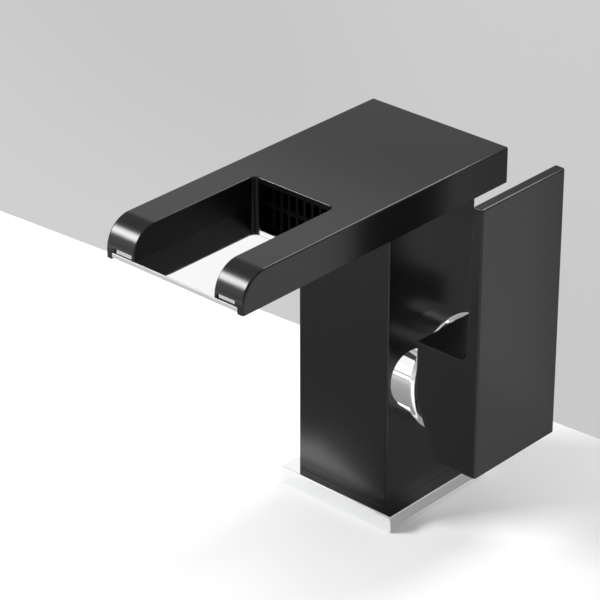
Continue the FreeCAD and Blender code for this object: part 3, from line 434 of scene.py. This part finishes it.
# Rounds the edges that turn sharply and that pass a test of their middle and direction.
# The size is a radius and a number of steps.
def roundEdges(shape, wanted, size):
    chosen = []
    for edge in shape.edges:
        turn = edge.calc_face_angle(0) if len(edge.link_faces) == 2 else 0
        if turn > math.radians(meshing["bevelAngle"]):
            first, second = (vert.co for vert in edge.verts)
            if wanted((first + second) / 2, (second - first).normalized()):
                chosen.append(edge)
    radius, steps = size
    bmesh.ops.bevel(shape, geom=chosen, offset=radius, offset_type="OFFSET", affect="EDGES",
                    segments=steps, profile=0.5, material=-1, clamp_overlap=True)


# Spout head, and the mirror plate under it.

spout = {
    "nose": (11.3 * mm, 28),            # rounded edges: radius and steps
    "slotCorner": (2.6 * mm, 8),
    "softEdge": (0.9 * mm, 5),
    "slotEdge": (0.5 * mm, 3),
    "slotHalf": 19.5 * mm,
    "slotRear": -51.6 * mm,
    "seatWall": 2.8 * mm,
    "seatRearWall": 5.8 * mm,
    "seatDepth": 2.5 * mm,
    "mouthHalf": 17.0 * mm,
    "mouthHeight": 9.6 * mm,
    "chamberHeight": 10.4 * mm,
    "chamberFront": -46.0 * mm,
    "chamberRear": 18.0 * mm,
    "chamberWaist": -24.0 * mm,
    "chamberLeft": -10.5 * mm,
    "notchInner": 20.6 * mm,
    "notchOuter": 29.4 * mm,
    "notchDepth": 2.8 * mm,
    "notchHeight": 2.1 * mm,
}


def makeSpoutHead():
    low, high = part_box("spout_head")
    half, slot, slotRear = high.x, spout["slotHalf"], spout["slotRear"]
    plan = [(-half, high.y), (half, high.y), (half, low.y), (slot, low.y),
            (slot, slotRear), (-slot, slotRear), (-slot, low.y), (-half, low.y)]
    shape = slabShape([(x, y, low.z) for x, y in plan], (0, 0, high.z - low.z))

    def slotCorner(middle, way):
        return near(abs(middle.x), slot) and near(middle.y, slotRear) and runsAlong(way.z)
    roundEdges(shape, slotCorner, spout["slotCorner"])

    def nose(middle, way):
        return near(middle.y, low.y) and near(middle.z, high.z)
    roundEdges(shape, nose, spout["nose"])

    def outerRim(middle, way):
        outside = near(abs(middle.x), half) or near(middle.y, high.y)
        return outside and middle.z > low.z + tiny
    roundEdges(shape, outerRim, spout["softEdge"])

    def slotRim(middle, way):
        inside = abs(middle.x) < slot + tiny and middle.y < slotRear + tiny
        acrossNose = near(middle.y, low.y) and runsAlong(way.x)
        return inside and middle.z > low.z + tiny and not acrossNose
    roundEdges(shape, slotRim, spout["slotEdge"])

    seatTop = low.z + spout["seatDepth"]
    seat = boxShape((-half + spout["seatWall"], low.y - past, low.z - past),
                    (half - spout["seatWall"], high.y - spout["seatRearWall"], seatTop))
    mouth, left = spout["mouthHalf"], spout["chamberLeft"]
    rear, waist, front = spout["chamberRear"], spout["chamberWaist"], spout["chamberFront"]
    chamberPlan = [(-mouth, front), (mouth, front), (mouth, rear), (left, rear),
                   (left, waist), (-mouth, waist)]
    chamber = slabShape([(x, y, low.z - past) for x, y in chamberPlan],
                        (0, 0, seatTop + spout["chamberHeight"] - low.z + past))
    mouthCut = boxShape((-mouth, slotRear - past, low.z - past),
                        (mouth, front + past, seatTop + spout["mouthHeight"]))
    cutters = [seat, chamber, mouthCut]
    for side in (-1, 1):
        inner, outer = sorted((side * spout["notchInner"], side * spout["notchOuter"]))
        cutters.append(boxShape(
            (inner, low.y - past, seatTop - past),
            (outer, low.y + spout["notchDepth"], seatTop + spout["notchHeight"])))
    shape = carve(shape, cutters)
    standFor(finishPiece("spout_head_smooth", shape), "spout_head")


makeSpoutHead()

spillPlate = {
    "thick": 2.0 * mm,
    "tabInner": 20.7 * mm,
    "tabOuter": 29.3 * mm,
    "tabThick": 2.0 * mm,
    "lipReach": 0.6 * mm,               # the lip stands this far in front of the tabs
    "lipEdge": (0.35 * mm, 4),
    "tabEdge": (0.4 * mm, 3),
    "riserPlace": (3.5 * mm, 0),
    "riserRadius": 8.0 * mm,
    "screwPlaces": [(x * mm, y * mm) for x in (-25, 25) for y in (-92, -44)],
    "screwRadius": 1.6 * mm,
    "screwHead": 2.6 * mm,
    "screwSink": 1.25 * mm,
    "boltPlaces": [(-15.5 * mm, -16.5 * mm), (-15.5 * mm, 16.5 * mm)],
    "boltRadius": 2.8 * mm,
}


def makeSpillPlate():
    low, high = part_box("spill_plate")
    top = low.z + spillPlate["thick"]
    lip = low.y - spillPlate["lipReach"]
    tabRear = low.y + spillPlate["tabThick"]
    shape = boxShape((low.x, lip, low.z), (high.x, high.y, top))
    for side in (-1, 1):
        inner, outer = sorted((side * spillPlate["tabInner"], side * spillPlate["tabOuter"]))
        tab = boxShape((inner, low.y, low.z + tiny), (outer, tabRear, high.z))
        shape = carve(shape, [tab], "UNION")

    def lipEdge(middle, way):
        return near(middle.y, lip) and near(middle.z, top) and runsAlong(way.x)
    roundEdges(shape, lipEdge, spillPlate["lipEdge"])

    def underEdge(middle, way):
        return near(middle.y, lip) and near(middle.z, low.z)
    roundEdges(shape, underEdge, spillPlate["tabEdge"])

    def tabEdge(middle, way):
        return middle.z > top + tiny and middle.y < tabRear + tiny
    roundEdges(shape, tabEdge, spillPlate["tabEdge"])

    foot = low.z - past
    upright = (0, 0, 1)
    through = spillPlate["thick"] + 2 * past
    cutters = [rodShape((*spillPlate["riserPlace"], foot), upright, through,
                        spillPlate["riserRadius"])]
    for place in spillPlate["boltPlaces"]:
        cutters.append(rodShape((*place, foot), upright, through, spillPlate["boltRadius"]))
    head, shank = spillPlate["screwHead"], spillPlate["screwRadius"]
    sink = [(-past, 0), (-past, head), (0, head), (spillPlate["screwSink"], shank),
            (through, shank), (through, 0)]
    for place in spillPlate["screwPlaces"]:
        cutters.append(turnedShape(sink, Vector((*place, low.z)), Vector(upright),
                                   meshing["smallCircle"]))
    shape = carve(shape, cutters)
    standFor(finishPiece("spill_plate_mirror", shape), "spill_plate")


makeSpillPlate()


# Lever.

lever = {
    "topThick": 4.5 * mm,
    "rootThick": 5.4 * mm,
    "blockHalfHeight": 23.9 * mm,
    "slantIn": 9.2 * mm,
    "crook": (3.6 * mm, 10),
    "faceEdge": (0.8 * mm, 5),
    "edge": (0.4 * mm, 4),
    "socketHalf": 4.6 * mm,
    "socketEnd": 55.0 * mm,
    "bossRadius": 10.0 * mm,
    "reliefRadius": 17.5 * mm,
    "reliefEnd": 56.0 * mm,
    "ribHalf": 4.5 * mm,
    "ribFoot": 45.5 * mm,
    "plugPlace": 50.0 * mm,
    "plugRadius": 3.25 * mm,
    "plugDepth": 3.1 * mm,
}


def makeLever():
    low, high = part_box("lever_handle")
    inner, outer = low.x, high.x
    blockTop = valveAxis.z + lever["blockHalfHeight"]
    root = outer - lever["rootThick"]
    side = [(inner, blockTop), (inner, valveAxis.z), (inner + lever["slantIn"], low.z),
            (outer, low.z), (outer, high.z), (outer - lever["topThick"], high.z),
            (root, blockTop)]
    shape = slabShape([(x, low.y, z) for x, z in side], (0, high.y - low.y, 0))

    def crook(middle, way):
        return near(middle.x, root) and near(middle.z, blockTop)
    roundEdges(shape, crook, lever["crook"])

    def faceRim(middle, way):
        return near(middle.x, outer) and middle.z > low.z + tiny
    roundEdges(shape, faceRim, lever["faceEdge"])
    roundEdges(shape, lambda middle, way: True, lever["edge"])

    half, start = lever["socketHalf"], inner - past
    socket = boxShape((start, -half, valveAxis.z - half),
                      (lever["socketEnd"], half, valveAxis.z + half))
    boss, relief = lever["bossRadius"], lever["reliefRadius"]
    reliefLength = lever["reliefEnd"] - start
    ring = turnedShape([(0, boss), (0, relief), (reliefLength, relief), (reliefLength, boss)],
                       Vector((start, 0, valveAxis.z)), Vector((1, 0, 0)))
    rib = boxShape((lever["ribFoot"], -lever["ribHalf"], valveAxis.z - 2 * relief),
                   (outer, lever["ribHalf"], valveAxis.z))
    ring = carve(ring, [rib])
    plug = rodShape((lever["plugPlace"], 0, low.z - past), (0, 0, 1),
                    lever["plugDepth"] + past, lever["plugRadius"])
    shape = carve(shape, [socket, ring, plug])
    standFor(finishPiece("lever_handle_smooth", shape), "lever_handle")


makeLever()


# Column and base plate.

column = {
    "softEdge": (0.9 * mm, 5),
    "topEdge": (0.2 * mm, 2),
    "hoseWall": 3.0 * mm,
    "hoseWallDeep": 3.6 * mm,
    "hoseRoomHeight": 31.3 * mm,
    "socketRadius": 20.2 * mm,
    "socketFloor": -2.0 * mm,
    "nutSeatRadius": 21.7 * mm,
    "nutSeatDepth": 8.5 * mm,
}


# One piece for the casting and the skirt under it.
def makeColumn():
    low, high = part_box("column_skirt")[0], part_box("body_column")[1]
    shape = boxShape(low, high)
    roundEdges(shape, lambda middle, way: runsAlong(way.z), column["softEdge"])
    roundEdges(shape, lambda middle, way: not runsAlong(way.z), column["topEdge"])
    wall, wallDeep = column["hoseWall"], column["hoseWallDeep"]
    room = boxShape((low.x + wall, low.y + wallDeep, low.z - past),
                    (high.x - wall, high.y - wallDeep, low.z + column["hoseRoomHeight"]))
    start, inwards = (high.x + past, 0, valveAxis.z), (-1, 0, 0)
    socket = rodShape(start, inwards, high.x + past - column["socketFloor"],
                      column["socketRadius"], meshing["largeCircle"])
    nutSeat = rodShape(start, inwards, column["nutSeatDepth"] + past,
                       column["nutSeatRadius"], meshing["largeCircle"])
    shape = carve(shape, [room, socket, nutSeat])
    standFor(finishPiece("body_column_smooth", shape), "body_column", "column_skirt")


basePlate = {
    "edge": (0.4 * mm, 4),
    "opening": 17.0 * mm,
    "rimHalfWidth": 19.4 * mm,
    "rimHalfDepth": 20.9 * mm,
    "rimHeight": 1.8 * mm,
    "rimSink": 0.5 * mm,
    "sealHalf": 24.5 * mm,
    "sealDepth": 2.0 * mm,
}


def makeBasePlate():
    low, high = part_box("base_plate")
    top = high.z - basePlate["rimHeight"]
    shape = boxShape(low, (high.x, high.y, top))
    roundEdges(shape, lambda middle, way: middle.z > low.z + tiny, basePlate["edge"])
    width, depth = basePlate["rimHalfWidth"], basePlate["rimHalfDepth"]
    rim = boxShape((-width, -depth, top - basePlate["rimSink"]), (width, depth, high.z))
    shape = carve(shape, [rim], "UNION")
    hole = rodShape((0, 0, low.z - past), (0, 0, 1), high.z - low.z + 2 * past,
                    basePlate["opening"], meshing["largeCircle"])
    half = basePlate["sealHalf"]
    seat = boxShape((-half, -half, low.z - past), (half, half, low.z + basePlate["sealDepth"]))
    shape = carve(shape, [hole, seat])
    standFor(finishPiece("base_plate_smooth", shape), "base_plate")


makeColumn()
makeBasePlate()


# Bonnet, the bright ring round the valve.

bonnet = {
    "wall": 1.5 * mm,
    "faceWall": 1.8 * mm,
    "opening": 12.6 * mm,
    "edge": (2.6 * mm, 10),
    "openingEdge": (0.4 * mm, 3),
    "edgeSlack": 0.1 * mm,              # a turned edge's middle lies a little inside its circle
    "steps": 144,
}


def makeBonnet():
    low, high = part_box("bonnet_cap")
    radius, length, opening = (high.y - low.y) / 2, high.x - low.x, bonnet["opening"]
    inner, face = radius - bonnet["wall"], length - bonnet["faceWall"]
    profile = [(0, inner), (face, inner), (face, opening), (length, opening),
               (length, radius), (0, radius)]
    shape = turnedShape(profile, Vector((low.x, 0, valveAxis.z)), Vector((1, 0, 0)),
                        bonnet["steps"])
    for size, edge in ((radius, bonnet["edge"]), (opening, bonnet["openingEdge"])):
        def ring(middle, way):
            reach = math.hypot(middle.y, middle.z - valveAxis.z)
            return near(middle.x, high.x) and near(reach, size, bonnet["edgeSlack"])
        roundEdges(shape, ring, edge)
    standFor(finishPiece("bonnet_cap_smooth", shape), "bonnet_cap")


makeBonnet()


# Stud and nut under the deck.

stud = {
    "pitch": 1.25 * mm,
    "threadDepth": 0.7 * mm,
    "flatShare": 8,             # a thread's flats are this part of its pitch
    "stepsPerTurn": 24,
    "spareTurns": 2,            # cut off again at the ends
    "slotWidth": 1.2 * mm,
    "slotDepth": 2.0 * mm,
}


def makeStud():
    low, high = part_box("mounting_stud")
    pitch = stud["pitch"]
    centre = Vector(((low.x + high.x) / 2, 0, low.z - pitch))
    crest = (high.x - low.x) / 2
    root = crest - stud["threadDepth"]
    flat = pitch / stud["flatShare"]
    profile = [(root, 0), (root, flat), (crest, pitch / 2 - flat / 2),
               (crest, pitch / 2 + flat / 2), (root, pitch)]
    shape = bmesh.new()
    verts = [shape.verts.new(centre + Vector((radius, 0, along))) for radius, along in profile]
    for first, second in zip(verts, verts[1:]):
        shape.edges.new((first, second))
    turns = math.ceil((high.z - low.z) / pitch) + stud["spareTurns"]
    bmesh.ops.spin(shape, geom=shape.verts[:] + shape.edges[:], cent=centre, axis=(0, 0, 1),
                   angle=math.tau * turns, steps=turns * stud["stepsPerTurn"],
                   dvec=(0, 0, pitch / stud["stepsPerTurn"]))
    bmesh.ops.remove_doubles(shape, verts=shape.verts, dist=tiny)
    for end, way in ((low.z, -1), (high.z, 1)):
        bmesh.ops.bisect_plane(shape, geom=shape.verts[:] + shape.edges[:] + shape.faces[:],
                               plane_co=(0, 0, end), plane_no=(0, 0, way), clear_outer=True)
        rim = [edge for edge in shape.edges
               if edge.is_boundary and near(edge.verts[0].co.z, end)]
        bmesh.ops.contextual_create(shape, geom=rim)
    half = stud["slotWidth"] / 2
    slot = boxShape((centre.x - half, -crest - past, low.z - past),
                    (centre.x + half, crest + past, low.z + stud["slotDepth"]))
    bmesh.ops.recalc_face_normals(shape, faces=shape.faces)
    shape = carve(shape, [slot])
    standFor(finishPiece("mounting_stud_threaded", shape), "mounting_stud")


nut = {
    "sides": 6,
    "turn": 30,                 # degrees
    "bore": 4.0 * mm,
    "chamfer": 0.6 * mm,
    "chamferDepth": 1.2 * mm,
}


def makeStudNut():
    low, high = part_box("stud_nut")
    centre = Vector(((low.x + high.x) / 2, 0, low.z))
    corner, length = (high.x - low.x) / 2, high.z - low.z
    shape = bmesh.new()
    bmesh.ops.create_circle(shape, cap_ends=True, radius=corner, segments=nut["sides"])
    turn = Matrix.Rotation(math.radians(nut["turn"]), 3, "Z")
    bmesh.ops.rotate(shape, cent=(0, 0, 0), matrix=turn, verts=shape.verts)
    bmesh.ops.translate(shape, vec=centre, verts=shape.verts)
    pushFaces(shape, (0, 0, length))
    reach, chamfer = corner + tiny, nut["chamfer"]
    end = reach - nut["chamferDepth"]
    barrel = turnedShape([(0, 0), (0, end), (chamfer, reach), (length - chamfer, reach),
                          (length, end), (length, 0)],
                         centre, Vector((0, 0, 1)), meshing["smallCircle"])
    shape = carve(shape, [barrel], "INTERSECT")
    bore = rodShape(centre - Vector((0, 0, past)), (0, 0, 1), length + 2 * past, nut["bore"])
    shape = carve(shape, [bore])
    standFor(finishPiece("stud_nut_chamfered", shape), "stud_nut")


makeStud()
makeStudNut()


# Floor and wall.

setting = {
    "reach": 4.0,
    "wallLeft": Vector((-0.290, 0.060)),      # two points of the line where deck and wall meet
    "wallRight": Vector((0.045, 0.0817)),
    "wallHeight": 0.215,
    "wallCloud": 3.0,
    "wallCloudDetail": 1,
    "wallSeen": (0.50, 0.72),                 # the wall as the camera sees it
    # painted tones that the wall shows only in reflections
    "wallTones": [(0.0, grey(0.55)), (0.46, grey(0.55)), (0.55, grey(0.36)),
                  (0.66, grey(0.36)), (0.71, grey(1.0)), (1.0, grey(1.0))],
    "wallSpan": (-0.3, 0.3),
    "wallGlow": grey(0.6),                    # the wall as it lights the tap
    "floorColour": grey(0.90),
}


def stagePlane(name, corners, material):
    shape = bmesh.new()
    shape.faces.new([shape.verts.new(corner) for corner in corners])
    mesh = bpy.data.meshes.new(name)
    shape.to_mesh(mesh)
    shape.free()
    piece = bpy.data.objects.new(name, mesh)
    bpy.context.scene.collection.objects.link(piece)
    piece.data.materials.append(material)
    return piece


# Stage surfaces are clear from behind, so that other views aren't shut out.
def clearBehind(finish, shader):
    clear = finish.node("ShaderNodeBsdfTransparent")
    behind = finish.node("ShaderNodeNewGeometry", output="Backfacing")
    return finish.close(finish.node("ShaderNodeMixShader", {}, {0: behind, 1: shader, 2: clear}))


def shining(finish, tone):
    return finish.node("ShaderNodeEmission", {}, {"Color": tone, "Strength": 1.0})


# A tone that changes along one axis of the room, between two places.
def makeTone(finish, axis, span, stops):
    along = finish.node("ShaderNodeSeparateXYZ", {}, {"Vector": finish.place}, output=axis)
    start, end = span
    place = finish.node("ShaderNodeMapRange", {},
                        {"Value": along, "From Min": start, "From Max": end})
    return finish.ramp(stops, place)


def makeFloorFinish():
    finish = Finish("pale_deck")
    diffuse = finish.node("ShaderNodeBsdfDiffuse", {}, {"Color": setting["floorColour"]})
    return clearBehind(finish, diffuse)


# The wall is pale to the camera; in reflections it shows painted tones, with a darker band and lighter on the
# right.
def makeWallFinish():
    finish = Finish("pale_wall")
    dim, bright = setting["wallSeen"]
    cloud = finish.noise(setting["wallCloud"], setting["wallCloudDetail"])
    seen = finish.blend(cloud, grey(dim), grey(bright))
    mirrored = makeTone(finish, "X", setting["wallSpan"], setting["wallTones"])
    camera = finish.node("ShaderNodeLightPath", output="Is Camera Ray")
    mirror = finish.node("ShaderNodeLightPath", output="Is Glossy Ray")
    tone = finish.blend(camera, finish.blend(mirror, setting["wallGlow"], mirrored), seen)
    return clearBehind(finish, shining(finish, tone))


def makeFloorAndWall():
    left, right = setting["wallLeft"], setting["wallRight"]
    reach, height = setting["reach"], setting["wallHeight"]
    along = (right - left).normalized()
    start, end = left - along * reach, right + along * reach
    floor = [(start.x, -reach, 0), (end.x, -reach, 0), (end.x, end.y, 0), (start.x, start.y, 0)]
    stagePlane("deck_floor", floor, makeFloorFinish())
    wall = [(start.x, start.y, 0), (end.x, end.y, 0), (end.x, end.y, height),
            (start.x, start.y, height)]
    stagePlane("wall", wall, makeWallFinish()).visible_shadow = False


makeFloorAndWall()


# Cards that only show in reflections: painted highlights and painted shade in the tap's shiny faces.

def evenTone(value):
    return [(0.0, grey(value)), (1.0, grey(value))]


cardSpan = (-0.42, -0.04)               # the tones' first and last place along Y
cardLift = 0.6 * mm
deckCards = {
    # Painted shade: the deck in front of the tap as its front faces reflect it, darker nearer the tap.
    "front_card": {
        "corners": [(0.055, -0.42), (0.055, -0.036), (0.015, -0.036), (-0.047, -0.053),
                    (-0.21, -0.085), (-0.34, -0.42)],
        "tones": [(0.00, grey(0.60)), (0.40, grey(0.60)), (0.50, grey(0.62)),
                  (0.56, grey(0.47)), (0.68, grey(0.42)), (1.00, grey(0.30))],
    },
    # Painted shadow: the shade under the lever on the deck beside the base, seen only in reflections.
    "right_card": {
        "corners": [(0.0295, -0.026), (0.078, -0.026), (0.098, 0.078), (0.0295, 0.078)],
        "tones": evenTone(0.33),
    },
    # Painted light: a bright pool on the deck in front of the column's foot, seen only in reflections.
    "glow_card": {
        "corners": [(0.004, -0.039), (-0.052, -0.039), (-0.052, -0.045), (-0.036, -0.0515)],
        "tones": evenTone(3.4),
    },
}
# Painted reflection: a white patch on the wall, seen only in reflections.
ledgeCard = {                           # on the wall
    "start": 0.145,                     # along the wall from its left point
    "end": 0.232,
    "gap": 0.002,
    "foot": 0.030,
    "top": 0.092,
    "tones": evenTone(1.0),
}
# Painted highlight: a bright card over the column's foot, brighter to the left, seen only in reflections.
footCard = {                            # faces down, over the column's foot
    "left": -0.080,
    "right": -0.012,
    "front": -0.080,
    "rear": -0.050,
    "height": 0.036,
    "tones": [(0.0, grey(1.8)), (0.6, grey(1.4)), (1.0, grey(0.3))],
}
# Painted highlight: a white card aimed at the bonnet, which shows as a bright band in its reflection only.
bonnetCard = {
    "middle": Vector((-0.034, -0.090, 0.101)),
    "target": Vector((0.026, -0.020, 0.061)),
    "width": 0.056,
    "height": 0.026,
    "tones": evenTone(1.0),
}


# Each card glows with its tones in reflections only, though it is no lamp.
def makeCard(name, corners, tones, axis="Y", span=cardSpan):
    finish = Finish(name)
    shader = shining(finish, makeTone(finish, axis, span, tones))
    card = stagePlane(name, corners, clearBehind(finish, shader))
    card.visible_camera = card.visible_diffuse = False
    card.visible_shadow = card.visible_transmission = False


def makeDeckCards():
    for name, card in deckCards.items():
        makeCard(name, [(x, y, cardLift) for x, y in card["corners"]], card["tones"])


def makeLedgeCard():
    left, right = setting["wallLeft"], setting["wallRight"]
    along, gap = (right - left).normalized(), Vector((0, ledgeCard["gap"]))
    start = left + along * ledgeCard["start"] - gap
    end = left + along * ledgeCard["end"] - gap
    foot, top = ledgeCard["foot"], ledgeCard["top"]
    corners = [(start.x, start.y, foot), (end.x, end.y, foot), (end.x, end.y, top),
               (start.x, start.y, top)]
    makeCard("ledge_card", corners, ledgeCard["tones"])


def makeFootCard():
    left, right, height = footCard["left"], footCard["right"], footCard["height"]
    front, rear = footCard["front"], footCard["rear"]
    corners = [(left, front, height), (left, rear, height), (right, rear, height),
               (right, front, height)]
    makeCard("foot_card", corners, footCard["tones"], "X", (left, right))


# A tilted card that faces its target.
def makeBonnetCard():
    middle = bonnetCard["middle"]
    way = (bonnetCard["target"] - middle).normalized()
    side = way.cross(Vector((0, 0, 1))).normalized() * bonnetCard["width"] / 2
    up = side.cross(way).normalized() * bonnetCard["height"] / 2
    corners = [middle - side - up, middle - side + up, middle + side + up, middle + side - up]
    makeCard("bonnet_card", corners, bonnetCard["tones"])


makeDeckCards()
makeLedgeCard()
makeFootCard()
makeBonnetCard()


# Lamps and studio.

lamps = {
    "key": {
        "way": Vector((-0.60, -0.58, 0.56)),
        "far": 1.1,
        "width": 0.40,
        "height": 0.32,
        "power": 12.5,
        "passes": [             # these pieces get none of its light
            "spill_plate_mirror", "base_plate_smooth", "bonnet_cap_smooth",
            "body_column_smooth", "flow_diffuser",
        ],
    },
    "rim": {
        "way": Vector((0.10, 0.65, 0.75)),
        "far": 1.1,
        "width": 0.55,
        "height": 0.32,
        "power": 5.0,
        "passes": [],
    },
}
lampAim = Vector((0.01, -0.03, 0.10))


# The named pieces get no light straight from a lamp, so they throw no glare on their neighbours.
def shieldFrom(lamp, names):
    shielded = bpy.data.collections.new(lamp.name + "_shielded")
    for name in names:
        shielded.objects.link(bpy.data.objects[name])
    for member in shielded.collection_objects:
        member.light_linking.link_state = "EXCLUDE"
    lamp.light_linking.receiver_collection = shielded


def makeLamps():
    for name, lamp in lamps.items():
        data = bpy.data.lights.new(name, "AREA")
        data.shape = "RECTANGLE"
        data.size, data.size_y = lamp["width"], lamp["height"]
        data.energy = lamp["power"]
        holder = bpy.data.objects.new(name, data)
        bpy.context.scene.collection.objects.link(holder)
        way = lamp["way"].normalized()
        holder.location = lampAim + way * lamp["far"]
        holder.rotation_mode = "QUATERNION"
        holder.rotation_quaternion = way.to_track_quat("Z", "Y")
        if lamp["passes"]:
            shieldFrom(holder, lamp["passes"])


studio = {
    "tones": [(0.0, grey(0.80)), (0.30, grey(0.48)), (0.60, grey(0.42)), (1.0, grey(0.70))],
    # Patches of the room, each with its direction, the start and end of its soft rim, and
    # its tone. The spill plate shows the first one to the camera.
    "patches": [
        {"way": (-0.620, 0.642, 0.4515), "rim": (0.984, 0.995), "tone": 1.0},
        {"way": (0.600, 0.650, 0.470), "rim": (0.800, 0.900), "tone": 0.10},
        {"way": (0.645, -0.590, 0.470), "rim": (0.920, 0.970), "tone": 0.05},
        {"way": (-0.600, -0.650, 0.470), "rim": (0.930, 0.975), "tone": 0.05},
        {"way": (-0.600, -0.790, 0.100), "rim": (0.960, 0.985), "tone": 1.3},
    ],
}


def makeWorld():
    world = bpy.data.worlds.new("studio")
    world.use_nodes = True
    room = Net(world.node_tree)
    way = room.node("ShaderNodeTexCoord", output="Generated")
    height = room.node("ShaderNodeSeparateXYZ", {}, {"Vector": way}, output="Z")
    colour = room.ramp(studio["tones"], height)
    for patch in studio["patches"]:
        facing = room.node("ShaderNodeVectorMath", {"operation": "DOT_PRODUCT"},
                           {0: way, 1: patch["way"]}, output="Value")
        start, end = patch["rim"]
        shown = room.ramp([(start, grey(0.0)), (end, grey(1.0))], facing)
        colour = room.blend(shown, colour, grey(patch["tone"]))
    background = room.node("ShaderNodeBackground", {}, {"Color": colour, "Strength": 1.0})
    room.node("ShaderNodeOutputWorld", {}, {"Surface": background})
    bpy.context.scene.world = world


makeLamps()
makeWorld()


# Camera, at the photograph's viewing angle.

view = {
    "place": Vector((628.48, -735.26, 593.49)) * mm,
    "yaw": 42.462,
    "pitch": 27.984,
    "roll": -0.095,
    "focus": 2871.121,          # in pixels of a picture 600 pixels wide
    "pictureWidth": 600,
    "sensor": 36.0,
    "clip": (0.01, 50),
}


def makeCamera():
    data = bpy.data.cameras.new("photo_view")
    data.sensor_fit = "HORIZONTAL"
    data.sensor_width = view["sensor"]
    data.lens = view["focus"] / view["pictureWidth"] * view["sensor"]
    data.clip_start, data.clip_end = view["clip"]
    camera = bpy.data.objects.new("photo_view", data)
    bpy.context.scene.collection.objects.link(camera)
    turn = (Matrix.Rotation(math.radians(view["yaw"]), 4, "Z")
            @ Matrix.Rotation(math.radians(90 - view["pitch"]), 4, "X")
            @ Matrix.Rotation(math.radians(view["roll"]), 4, "Z"))
    camera.matrix_world = Matrix.Translation(view["place"]) @ turn
    bpy.context.scene.camera = camera


makeCamera()
bpy.context.scene.view_settings.view_transform = "Standard"
print("stage, lamps and camera made")
